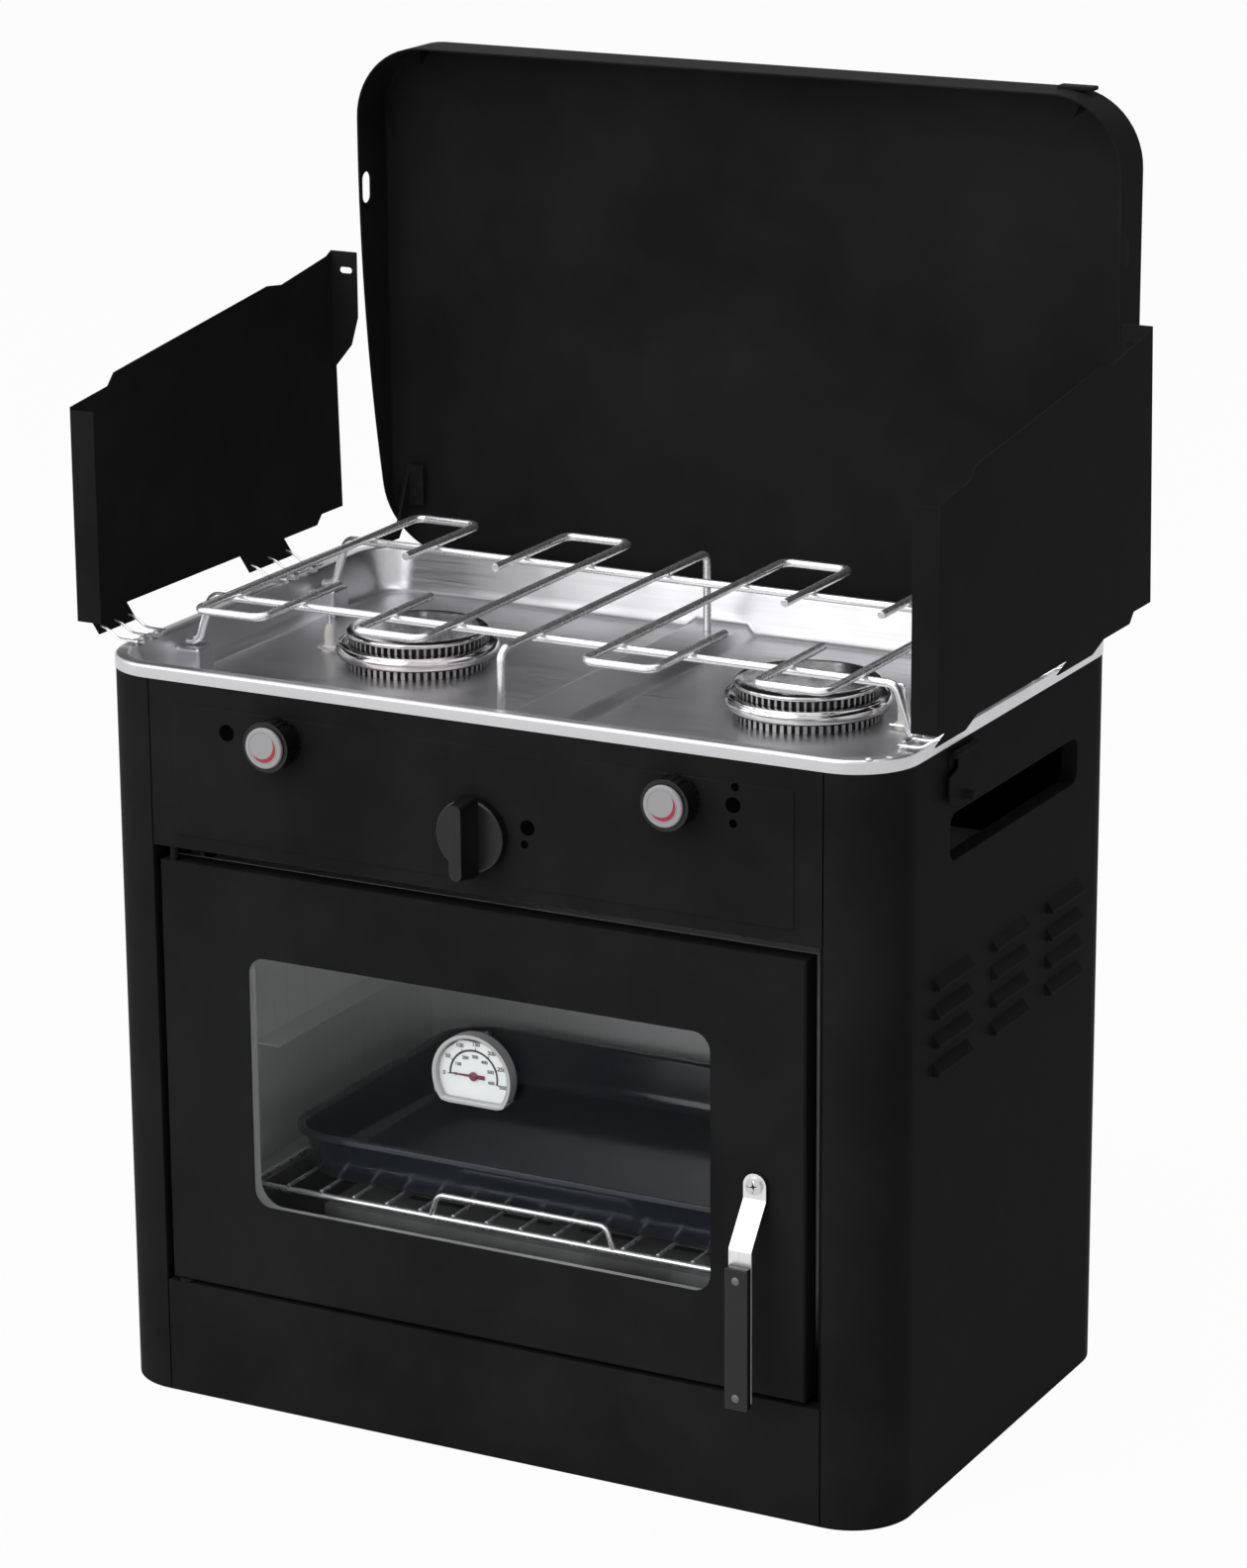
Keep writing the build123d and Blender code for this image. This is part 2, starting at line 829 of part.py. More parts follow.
# Oven knob: a disc with a gabled grip across it
with BuildPart() as oven_knob:
    with BuildSketch(facing(-knob_gap)):
        with Locations((oven_knob_x, oven_knob_z)):
            RegularPolygon(oven_knob_radius, 32)
    extrude(amount=oven_disc, taper=8)
    with BuildSketch(facing(-knob_gap - oven_disc / 2)) as grip_foot:
        with Locations((oven_knob_x, oven_knob_z)):
            Rectangle(oven_grip_width, oven_grip_length)
        chamfer(grip_foot.vertices(), length=oven_grip_width / 3)
    extrude(amount=oven_grip_reach + oven_disc / 2, taper=6)
    chamfer(oven_knob.faces().sort_by(Axis.Y)[0].edges(), length=edge_break)
    rod(
        (oven_knob_x, from_front(-knob_gap), oven_knob_z),
        (oven_knob_x, from_front(spindle_end - running), oven_knob_z),
        spindle_radius,
    )
finish(oven_knob.part, "oven_knob")


# Gas valves, rail and feed pipe
rail_low = rail_z - rail_square / 2
rail_high = rail_z + rail_square / 2
rail_from_front = valve_from_front + valve_depth
burner_y = from_front(burner_from_front)
valve_places = (
    (-hob_knob_x, hob_knob_z, "left_hob_valve"),
    (hob_knob_x, hob_knob_z, "right_hob_valve"),
    (oven_knob_x, oven_knob_z, "oven_valve"),
)
for x, z, label in valve_places:
    with BuildPart() as valve:
        block(
            (x - valve_width / 2, from_front(valve_from_front), min(rail_low, z - valve_half)),
            (x + valve_width / 2, from_front(rail_from_front), max(rail_high, z + valve_half)),
        )
        bar((x, from_front(sheet), z), (x, from_front(valve_from_front + 1), z), valve_neck_radius)
        rod(
            (x, from_front(0), z),
            (x, from_front(spindle_end), z),
            spindle_radius + running,
            mode=Mode.SUBTRACT,
        )
        if z > rail_z:
            bar(
                (x, from_front(rail_from_front - 1), mixing_z),
                (x, from_front(rail_from_front + 8), mixing_z),
                2.5,
                sides=8,
            )
    finish(valve.part, label)

with BuildPart() as gas_rail:
    block(
        (rail_left, from_front(rail_from_front), rail_low),
        (feed_x + rail_square / 2, from_front(rail_from_front + rail_square), rail_high),
    )
    bar(
        (feed_x, from_front(rail_from_front + rail_square / 2), rail_z),
        (feed_x, from_front(depth - sheet - inlet_nut), rail_z),
        pipe_radius,
        sides=8,
    )
finish(gas_rail.part, "gas_rail")

with BuildPart() as gas_inlet:
    with BuildSketch(facing(depth - sheet)):
        with Locations((feed_x, rail_z)):
            RegularPolygon(inlet_flats, 6)
    extrude(amount=inlet_nut)
    with BuildSketch(facing(depth)):
        with Locations((feed_x, rail_z)):
            RegularPolygon(inlet_flats, 6)
    extrude(amount=-inlet_nut)
    rod(
        (feed_x, from_front(depth - inlet_nut), rail_z),
        (feed_x, from_front(depth + inlet_projection), rail_z),
        inlet_radius,
    )
    bar(
        (feed_x, from_front(depth + inlet_projection - 12), rail_z),
        (feed_x, from_front(depth + inlet_projection + 1), rail_z),
        2.2,
        sides=8,
        mode=Mode.SUBTRACT,
    )
    chamfer(gas_inlet.faces().sort_by(Axis.Y)[-1].outer_wire().edges(), length=0.8)
finish(gas_inlet.part, "gas_inlet")


# Oven gas pipe and burner tube
with BuildPart() as oven_pipe:
    wire(
        (
            (oven_knob_x, from_front(rail_from_front), oven_knob_z),
            (oven_knob_x, from_front(oven_pipe_from_front), oven_knob_z),
            (-oven_pipe_x, from_front(oven_pipe_from_front), oven_knob_z),
            (-oven_pipe_x, from_front(oven_pipe_from_front), oven_burner_z),
            (-oven_pipe_x, burner_y, oven_burner_z),
            (-liner_half - 10, burner_y, oven_burner_z),
        ),
        pipe_radius,
        10,
        sides=8,
    )
finish(oven_pipe.part, "oven_pipe")

with BuildPart() as oven_burner:
    bar(
        (-liner_half - 10, burner_y, oven_burner_z),
        (spreader_half - 10, burner_y, oven_burner_z),
        oven_burner_radius,
    )
    with BuildSketch(level(oven_burner_z + oven_burner_radius - 2)):
        with Locations((0, burner_y)):
            with GridLocations(26, 1, 10, 1):
                Rectangle(14, 2)
    extrude(amount=4, mode=Mode.SUBTRACT)
    block(
        (spreader_half - 22, burner_y - 6, liner_low),
        (spreader_half - 18, burner_y + 6, oven_burner_z),
    )
finish(oven_burner.part, "oven_burner")


# Hob tray: the hollow of its two basins, then the pressed sheet around it
def basin(inset):
    """The basins' block, inset by the sheet; the hollow runs a little above the rim."""
    slope = basin_draft / basin_depth
    grow = inset * slope - rim_width - inset
    size = (width + 2 * grow, depth + 2 * grow)
    drafted(size, corner + grow, level(rim_top + inset), basin_depth + tray_sheet, slope)


def bridge(inset, mode):
    """The raised band between the two basins, or its underside when inset."""
    half = bridge_half - inset
    with BuildSketch(facing(depth)) as section:
        with BuildLine():
            Polyline(
                (-half - bridge_slope, floor_low - 1),
                (-half - bridge_slope, floor_top - inset),
                (-half, bridge_top - inset),
                (half, bridge_top - inset),
                (half + bridge_slope, floor_top - inset),
                (half + bridge_slope, floor_low - 1),
                close=True,
            )
        make_face()
    extrude(section.sketch, amount=depth, mode=mode)


def foot_ledges(inset, mode):
    """The four steps in the side walls that the pan support's feet stand on."""
    for side in (-1, 1):
        for rod_y in (cross_rod_front, cross_rod_rear):
            block(
                (side * (ledge_inner + inset), from_front(rod_y - ledge_half + inset), floor_low - 1),
                (side * (width / 2), from_front(rod_y + ledge_half - inset), ledge_top - inset),
                mode=mode,
            )


with BuildPart() as basin_hollow:
    basin(tray_sheet)
    chamfer(basin_hollow.faces().sort_by(Axis.Z)[0].edges(), length=basin_fold)
    bridge(0, Mode.SUBTRACT)
    foot_ledges(0, Mode.SUBTRACT)

with BuildPart() as hob_tray:
    basin(0)
    chamfer(hob_tray.faces().sort_by(Axis.Z)[0].edges(), length=basin_fold)
    bridge(tray_sheet, Mode.SUBTRACT)
    foot_ledges(tray_sheet, Mode.SUBTRACT)
    with BuildSketch(level(height)):
        RectangleRounded(width + 2 * rim_lap, depth + 2 * rim_lap, corner + rim_lap)
        RectangleRounded(width - 2 * sheet, depth - 2 * sheet, corner - sheet, mode=Mode.SUBTRACT)
    extrude(amount=rim_height)
    with BuildSketch(level(rim_top - tray_sheet)):
        RectangleRounded(width + 2 * rim_lap, depth + 2 * rim_lap, corner + rim_lap)
    extrude(amount=tray_sheet)
    chamfer(hob_tray.faces().sort_by(Axis.Z)[-1].outer_wire().edges(), length=rim_roll)
    add(basin_hollow.part, mode=Mode.SUBTRACT)
    with BuildSketch(level(floor_low - 1)):
        with Locations((-burner_x, burner_y), (burner_x, burner_y)):
            RegularPolygon(burner_throat_radius + clearance, 16)
    extrude(amount=2 * tray_sheet + 1, mode=Mode.SUBTRACT)
finish(hob_tray.part, "hob_tray")


# Hob burners: body with its ports and mixing tube, polished ring, cap
ring_low = floor_top + burner_port_height
ring_top = ring_low + burner_ring_height
crown_top = ring_top + burner_crown_height
throat_low = mixing_z - mixing_radius - 2
for x, word in ((-burner_x, "left"), (burner_x, "right")):
    with BuildPart() as burner_body:
        layers = (
            (throat_low, floor_top, burner_throat_radius, 16),
            (floor_top, ring_low, burner_port_radius, 36),
            (ring_low, ring_top, burner_neck_radius, 24),
            (ring_top, crown_top, burner_crown_radius, 36),
        )
        for low, high, radius, sides in layers:
            with BuildSketch(level(low)):
                with Locations((x, burner_y)):
                    RegularPolygon(radius, sides)
            extrude(amount=high - low)
        bar(
            (x, from_front(rail_from_front + 3), mixing_z),
            (x, burner_y, mixing_z),
            mixing_radius,
        )
        bar(
            (x, from_front(rail_from_front), mixing_z),
            (x, from_front(rail_from_front + 30), mixing_z),
            mixing_radius - 1.5,
            mode=Mode.SUBTRACT,
        )
        with BuildSketch(level(floor_top + burner_port_low)):
            with Locations((x, burner_y)):
                with PolarLocations(burner_port_radius, burner_ports):
                    Rectangle(4, burner_port_width)
        extrude(amount=burner_port_height, mode=Mode.SUBTRACT)
    finish(burner_body.part, f"{word}_burner_body")

    with BuildPart() as burner_ring:
        with BuildSketch(Plane.XZ.offset(-burner_y)):
            with BuildLine():
                Polyline(
                    (x + burner_port_radius + 1, ring_low),
                    (x + burner_neck_radius + clearance, ring_low),
                    (x + burner_neck_radius + clearance, ring_top),
                    (x + burner_port_radius + 1, ring_top),
                    (x + burner_ring_radius, ring_top - burner_ring_height / 3),
                    (x + burner_ring_radius, ring_low + burner_ring_height / 3),
                    close=True,
                )
            make_face()
        revolve(axis=Axis((x, burner_y, 0), (0, 0, 1)))
    finish(burner_ring.part, f"{word}_burner_ring")

    with BuildPart() as burner_cap:
        with BuildSketch(level(crown_top)):
            with Locations((x, burner_y)):
                RegularPolygon(burner_cap_radius, 36)
        extrude(amount=burner_cap_height, taper=20)
        with BuildSketch(level(crown_top + burner_cap_height)):
            with Locations((x, burner_y)):
                RegularPolygon(burner_cap_radius - 10, 24)
        extrude(amount=-1, mode=Mode.SUBTRACT)
    finish(burner_cap.part, f"{word}_burner_cap")


# Spark electrodes beside the burners
with BuildPart() as spark_ceramics:
    for side in (-1, 1):
        x = side * (burner_x + spark_offset)
        bar((x, burner_y, floor_top), (x, burner_y, floor_top + spark_height), spark_radius)
        bar((x, burner_y, floor_top), (x, burner_y, floor_top + 4), 1.5 * spark_radius)
finish(spark_ceramics.part, "spark_ceramics")

with BuildPart() as spark_wires:
    for side in (-1, 1):
        x = side * (burner_x + spark_offset)
        spark_top = floor_top + spark_height
        wire(
            (
                (x, burner_y, spark_top),
                (x, burner_y, spark_top + 9),
                (x - side * 11, burner_y, spark_top + 7),
            ),
            spark_wire_radius,
            3,
        )
finish(spark_wires.part, "spark_wires")


# Pan support: four loops and a middle wire on two cross rods with feet
def loop(run, back):
    """One open loop of the pan support: a long run with a return at each end."""
    wire(
        (
            (back, from_front(front_free_end), wire_z),
            (back, from_front(support_front), wire_z),
            (run, from_front(support_front), wire_z),
            (run, from_front(support_rear), wire_z),
            (back, from_front(support_rear), wire_z),
            (back, from_front(rear_free_end), wire_z),
        ),
        support_wire,
        wire_bend,
    )


with BuildPart() as left_support_loops:
    loop(-outer_run, -outer_return)
    loop(-inner_run, -inner_return)
finish(left_support_loops.part, "left_support_loops")

with BuildPart() as right_support_loops:
    loop(outer_run, outer_return)
    loop(inner_run, inner_return)
finish(right_support_loops.part, "right_support_loops")

with BuildPart() as pan_support:
    rod_z = wire_z - 2 * flat_reach(support_wire, 6) - seat_gap
    middle_z = rod_z + 2 * flat_reach(support_wire, 6) - weld
    leg_foot = bridge_top + seat_gap
    wire(
        (
            (0, from_front(support_front), leg_foot),
            (0, from_front(support_front), middle_z),
            (0, from_front(support_rear), middle_z),
            (0, from_front(support_rear), leg_foot),
        ),
        support_wire,
        wire_bend,
    )
    foot_z = ledge_top + seat_gap + flat_reach(support_wire, 6)
    for rod_y in (cross_rod_front, cross_rod_rear):
        y = from_front(rod_y)
        wire(
            (
                (-rod_foot_end, y, foot_z),
                (-rod_foot_x, y, foot_z),
                (-rod_bend_x, y, rod_z),
                (rod_bend_x, y, rod_z),
                (rod_foot_x, y, foot_z),
                (rod_foot_end, y, foot_z),
            ),
            support_wire,
            5,
        )
finish(pan_support.part, "pan_support")


# Oven liner on its two bearers
with BuildPart() as oven_liner:
    with BuildSketch(facing(liner_front)):
        with Locations((0, (liner_low + liner_top) / 2)):
            Rectangle(2 * (liner_half + liner_flange), liner_top - liner_low + 2 * liner_flange)
    extrude(amount=-sheet)
    block(
        (-liner_half - sheet, from_front(liner_front), liner_low - sheet),
        (liner_half + sheet, from_front(liner_rear), liner_top + sheet),
    )
    block(
        (-liner_half, from_front(liner_front - 1), liner_low),
        (liner_half, from_front(liner_rear - sheet), liner_top),
        mode=Mode.SUBTRACT,
    )
    with BuildSketch(facing(liner_rear + 1)):
        with Locations((0, liner_top - 20)):
            with GridLocations(60, 1, 5, 1):
                Rectangle(44, 7)
    extrude(amount=4 * sheet, mode=Mode.SUBTRACT)
    bar(
        (-liner_half - 4, burner_y, oven_burner_z),
        (-liner_half + 4, burner_y, oven_burner_z),
        oven_burner_radius + clearance,
        mode=Mode.SUBTRACT,
    )
finish(oven_liner.part, "oven_liner")

with BuildPart() as liner_bearers:
    for side in (-1, 1):
        inner = side * (bearer_x - bearer_sheet)
        outer = side * bearer_x
        foot = side * (bearer_x - bearer_foot)
        low = from_front(liner_front + 20)
        high = from_front(liner_rear - 20)
        top = liner_low - sheet
        block((inner, low, base_sheet), (outer, high, top))
        block((foot, low, base_sheet), (outer, high, base_sheet + bearer_sheet))
        block((foot, low, top - bearer_sheet), (outer, high, top))
finish(liner_bearers.part, "liner_bearers")


# Rack rails on the liner's sides: an angle for the rack and one above it
rail_seat = rack_z - flat_reach(rack_frame_wire, 8) - seat_gap
with BuildPart() as rack_rails:
    for side in (-1, 1):
        for rise, start in ((0, rack_front - 8), (upper_rail_rise, upper_rail_front)):
            seat = rail_seat + rise
            y_low = from_front(start)
            y_high = from_front(liner_rear - 10)
            edge = side * (liner_half - ledge_width)
            block((edge, y_low, seat - sheet), (side * liner_half, y_high, seat))
            block((side * (liner_half - sheet), y_low, seat - 14), (side * liner_half, y_high, seat))
finish(rack_rails.part, "rack_rails")

with BuildPart() as heat_spreader:
    block(
        (-spreader_half, from_front(spreader_front), spreader_z),
        (spreader_half, from_front(spreader_rear), spreader_z + sheet),
    )
    for leg_y in (spreader_front, spreader_rear - sheet):
        block(
            (-spreader_half, from_front(leg_y), liner_low),
            (spreader_half, from_front(leg_y + sheet), spreader_z),
        )
    with BuildSketch(level(spreader_z - 1)):
        with GridLocations(60, 60, 4, 3):
            Rectangle(40, 8)
    extrude(amount=3, mode=Mode.SUBTRACT)
finish(heat_spreader.part, "heat_spreader")


# Wire rack with its lift-up handle at the front
rack_wire_z = rack_z + flat_reach(rack_frame_wire, 8) + flat_reach(rack_wire, 4) - weld
with BuildPart() as oven_rack:
    rack_span = rack_half - rack_frame_wire
    front_y = from_front(rack_front)
    rear_y = from_front(rack_rear)
    corners = ((1, front_y), (1, rear_y), (-1, rear_y), (-1, front_y))
    outline = []
    for side, y in corners:
        along = rack_corner if y == front_y else -rack_corner
        cut = [(side * (rack_span - rack_corner), y, rack_z), (side * rack_span, y + along, rack_z)]
        outline += cut if (side > 0) == (y == front_y) else cut[::-1]
    with BuildLine() as frame_line:
        Polyline(*outline, close=True)
    frame_path = frame_line.wire()
    with BuildSketch(section_plane(frame_path @ 0, frame_path % 0)) as frame_section:
        RegularPolygon(rack_frame_wire, 8, rotation=22.5)
    sweep(sections=frame_section.sketch, path=frame_path, transition=Transition.RIGHT)
    middle_y = (front_y + rear_y) / 2
    bar((-rack_span, middle_y, rack_z), (rack_span, middle_y, rack_z), rack_frame_wire - 0.2, sides=8)
    wires = int(rack_span // rack_pitch)
    for step in range(-wires, wires + 1):
        x = step * rack_pitch
        bar((x, front_y - weld, rack_wire_z), (x, rear_y + weld, rack_wire_z), rack_wire, sides=4)
    handle_top = rack_z + rack_handle_rise
    wire(
        (
            (-rack_handle_half, front_y, rack_z),
            (-rack_handle_half + 5, front_y, handle_top),
            (rack_handle_half - 5, front_y, handle_top),
            (rack_handle_half, front_y, rack_z),
        ),
        rack_handle_wire,
        5,
    )
finish(oven_rack.part, "oven_rack")


# Roasting pan on the rack
pan_low = rack_wire_z + flat_reach(rack_wire, 4) + seat_gap
pan_middle = from_front((rack_front + rack_rear) / 2 - 3)


def pan_form(inset):
    """The pan's block, inset by its sheet; the hollow runs a little above the lip."""
    slope = pan_draft / pan_height
    half_x = pan_half_x - inset + inset * slope
    half_y = pan_half_y - inset + inset * slope
    mouth = Plane((0, pan_middle, pan_low + pan_height + inset))
    drafted((2 * half_x, 2 * half_y), pan_corner - inset, mouth, pan_height, slope)


with BuildPart() as pan_hollow:
    pan_form(pan_sheet)
    chamfer(pan_hollow.faces().sort_by(Axis.Z)[0].edges(), length=pan_fold)

with BuildPart() as roasting_pan:
    pan_form(0)
    chamfer(roasting_pan.faces().sort_by(Axis.Z)[0].edges(), length=pan_fold)
    with BuildSketch(level(pan_low + pan_height - pan_sheet)):
        with Locations((0, pan_middle)):
            RectangleRounded(
                2 * (pan_half_x + pan_lip), 2 * (pan_half_y + pan_lip), pan_corner + pan_lip
            )
    extrude(amount=pan_sheet)
    add(pan_hollow.part, mode=Mode.SUBTRACT)
finish(roasting_pan.part, "roasting_pan")


# Lid: a pressed pan with a bevelled back, its mouth swept back towards the bottom
lid_middle = (lid_low + lid_top) / 2
lid_hole_z = lid_turn + lid_turn_y - catch_from_front
lid_hole_y = lid_turn_y + catch_z + catch_bump_reach - lid_turn


def lid_form(inset, front):
    """The lid as a block, this far inside its skin, from the front plane given."""
    shoulder = lid_shoulder - inset
    size = (2 * (lid_half - inset), lid_top - lid_low - 2 * inset)
    seat = Plane(facing(shoulder).location * Location((0, lid_middle, 0)))
    with BuildSketch(seat) as outline:
        RectangleRounded(*size, lid_corner - inset)
    extrude(outline.sketch, amount=shoulder - front)
    bevel_depth = lid_back - lid_shoulder
    drafted(size, lid_corner - inset, seat, bevel_depth, lid_bevel / bevel_depth)


lid_shoulder_y = from_front(lid_shoulder)

with BuildPart() as lid_hollow:
    lid_form(lid_sheet, lid_mouth - 30)
    round_edges = lid_hollow.edges().filter_by_position(Axis.Y, lid_shoulder_y - lid_sheet - 0.01, lid_shoulder_y)
    chamfer(round_edges, length=lid_fold)

with BuildPart() as lid_shell:
    lid_form(0, lid_mouth - 10)
    round_edges = lid_shell.edges().filter_by_position(Axis.Y, lid_shoulder_y - 0.01, lid_shoulder_y + 0.01)
    chamfer(round_edges, length=lid_fold)
    block(
        (lid_tab_x - lid_tab_length / 2, from_front(lid_shoulder - 12), lid_top - 1),
        (lid_tab_x + lid_tab_length / 2, from_front(lid_shoulder - 2), lid_top + lid_tab_rise),
    )
    add(lid_hollow.part, mode=Mode.SUBTRACT)
    with BuildSketch(abreast(-width)):
        with BuildLine():
            drop = lid_straight_low - lid_low + 20
            set_back = lid_sweep_radius - (lid_sweep_radius**2 - drop**2) ** 0.5
            start = (from_front(lid_mouth), lid_straight_low)
            end = (from_front(lid_mouth + set_back), lid_straight_low - drop)
            Line((from_front(lid_mouth), lid_top + 20), start)
            TangentArc(start, end, tangent=(0, -1))
            Polyline(
                end,
                (from_front(lid_mouth - 60), lid_straight_low - drop),
                (from_front(lid_mouth - 60), lid_top + 20),
                (from_front(lid_mouth), lid_top + 20),
            )
        make_face()
    extrude(amount=2 * width, mode=Mode.SUBTRACT)
    with BuildSketch(abreast(-width)):
        with Locations((from_front(lid_hole_y), lid_hole_z)):
            RectangleRounded(lid_hole_height, lid_hole_length, lid_hole_height / 2 - 0.2)
    extrude(amount=2 * width, mode=Mode.SUBTRACT)
finish(lid_shell.part, "lid_shell")


# Lid hinges: an ear with its pin on each rear corner of the rim, and an arm on the lid
with BuildPart() as lid_hinge_ears:
    for side in (-1, 1):
        ear_outer = side * (hinge_ear_x + hinge_ear_sheet)
        ear_inner = side * hinge_ear_x
        with BuildSketch(abreast(ear_inner)):
            with Locations((from_front(lid_turn_y), lid_turn)):
                RegularPolygon(hinge_ear_half, 12)
            with Locations((from_front(lid_turn_y), (lid_turn + rim_top) / 2)):
                Rectangle(2 * hinge_ear_half, lid_turn - rim_top)
        extrude(amount=side * hinge_ear_sheet)
        block(
            (ear_inner, from_front(lid_turn_y - hinge_ear_half), rim_top),
            (ear_outer + side * 3, from_front(lid_turn_y), rim_top + hinge_ear_sheet),
        )
        arm_inner = hinge_ear_x - arm_gap - arm_sheet - arm_gap
        rod(
            (ear_outer, from_front(lid_turn_y), lid_turn),
            (side * arm_inner, from_front(lid_turn_y), lid_turn),
            lid_pin_radius,
        )
        bar(
            (side * arm_inner, from_front(lid_turn_y), lid_turn),
            (side * (arm_inner - 1), from_front(lid_turn_y), lid_turn),
            1.7 * lid_pin_radius,
        )
finish(lid_hinge_ears.part, "lid_hinge_ears")

with BuildPart() as lid_hinge_arms:
    for side in (-1, 1):
        arm_outer = hinge_ear_x - arm_gap
        arm_inner = arm_outer - arm_sheet
        foot_front = lid_shoulder - 3
        with BuildSketch(abreast(side * arm_inner)):
            with Locations((from_front(lid_turn_y), lid_turn)):
                RegularPolygon(arm_width / 2, 12)
            with BuildLine():
                Polyline(
                    (from_front(lid_turn_y), lid_turn - arm_width / 2 + 0.8),
                    (from_front(lid_turn_y + 16), lid_turn - arm_width / 2 + 0.8),
                    (from_front(foot_front), arm_foot_low),
                    (from_front(foot_front), arm_foot_top),
                    (from_front(lid_turn_y + 16), lid_turn + arm_width / 2),
                    (from_front(lid_turn_y), lid_turn + arm_width / 2),
                    close=True,
                )
            make_face()
        extrude(amount=side * arm_sheet)
        block(
            (side * arm_outer, from_front(foot_front - arm_sheet), arm_foot_low),
            (side * (arm_outer - arm_foot_width), from_front(foot_front), arm_foot_top),
        )
        rod(
            (side * (arm_inner - 2), from_front(lid_turn_y), lid_turn),
            (side * (arm_outer + 2), from_front(lid_turn_y), lid_turn),
            lid_pin_radius + running,
            mode=Mode.SUBTRACT,
        )
        for foot_z in (arm_foot_low + 8, arm_foot_top - 8):
            foot_x = arm_outer - arm_foot_width / 2 - arm_sheet / 2
            foot_share = (lid_half - foot_x - 3) / lid_bevel
            foot_seat = lid_shoulder - lid_sheet + foot_share * (lid_back - lid_shoulder)
            bar(
                (side * foot_x, from_front(foot_front - arm_sheet - 1), foot_z),
                (side * foot_x, from_front(foot_seat - clearance), foot_z),
                2.2,
                sides=8,
            )
finish(lid_hinge_arms.part, "lid_hinge_arms")


# Lid catches on the sides: bracket with two knuckles, and the catch that flips up
with BuildPart() as catch_brackets:
    for side in (-1, 1):
        y_low = from_front(catch_from_front - catch_bracket_half)
        y_high = from_front(catch_from_front + catch_bracket_half)
        block(
            (side * width / 2, y_low, catch_z - 10),
            (side * (width / 2 + sheet), y_high, catch_z + catch_drop - 0.5),
        )
        for start in (y_low, y_high - catch_bracket_knuckle):
            bar(
                (side * catch_x, start, catch_z),
                (side * catch_x, start + catch_bracket_knuckle, catch_z),
                catch_barrel_radius,
                sides=8,
            )
            block(
                (side * (width / 2 + sheet / 2), start, catch_z - catch_barrel_radius),
                (side * catch_x, start + catch_bracket_knuckle, catch_z),
            )
        rod(
            (side * catch_x, y_low - 1, catch_z),
            (side * catch_x, y_high + 1, catch_z),
            catch_pin_radius + running,
            mode=Mode.SUBTRACT,
        )
finish(catch_brackets.part, "catch_brackets")

for side, word in ((-1, "left"), (1, "right")):
    with BuildPart() as lid_catch:
        knuckle_gap = catch_bracket_half - catch_bracket_knuckle - 0.5
        y_middle = from_front(catch_from_front)
        bar(
            (side * catch_x, y_middle - knuckle_gap, catch_z),
            (side * catch_x, y_middle + knuckle_gap, catch_z),
            catch_barrel_radius,
            sides=8,
        )
        rod(
            (side * catch_x, y_middle - catch_bracket_half - 1, catch_z),
            (side * catch_x, y_middle + catch_bracket_half + 1, catch_z),
            catch_pin_radius,
        )
        with BuildSketch(abreast(side * (catch_x - sheet / 2))):
            with BuildLine():
                Polyline(
                    (y_middle - knuckle_gap, catch_z),
                    (y_middle - knuckle_gap, catch_z - 8),
                    (y_middle - catch_width / 2, catch_z - 12),
                    (y_middle - catch_width / 2, catch_z - 26),
                    (y_middle - catch_width / 2 + 10, catch_z - catch_length),
                    (y_middle + catch_width / 2 - 10, catch_z - catch_length),
                    (y_middle + catch_width / 2, catch_z - 26),
                    (y_middle + catch_width / 2, catch_z - 12),
                    (y_middle + knuckle_gap, catch_z - 8),
                    (y_middle + knuckle_gap, catch_z),
                    close=True,
                )
            make_face()
        extrude(amount=side * sheet)
        bump_z = catch_z - catch_bump_reach
        bump_length = catch_x - lid_half + lid_sheet + 0.3
        with BuildSketch(abreast(side * catch_x)):
            with Locations((y_middle, bump_z)):
                RegularPolygon(catch_bump_radius, 12)
        extrude(amount=side * bump_length, taper=6)
    finish(lid_catch.part, f"{word}_lid_catch")


# Windshields: plate with its bent edges, wire clips, and saddles on the rim
shield_inner = shield_x - shield_sheet / 2


def clip_stations(clip):
    """The y of a clip's three arms and of its two saddles."""
    low, high = clip
    span = high - low
    arms = [from_front(low + span * share) for share in (0, 0.5, 1)]
    saddles = [from_front(low + span * share) for share in (0.25, 0.75)]
    return arms, saddles


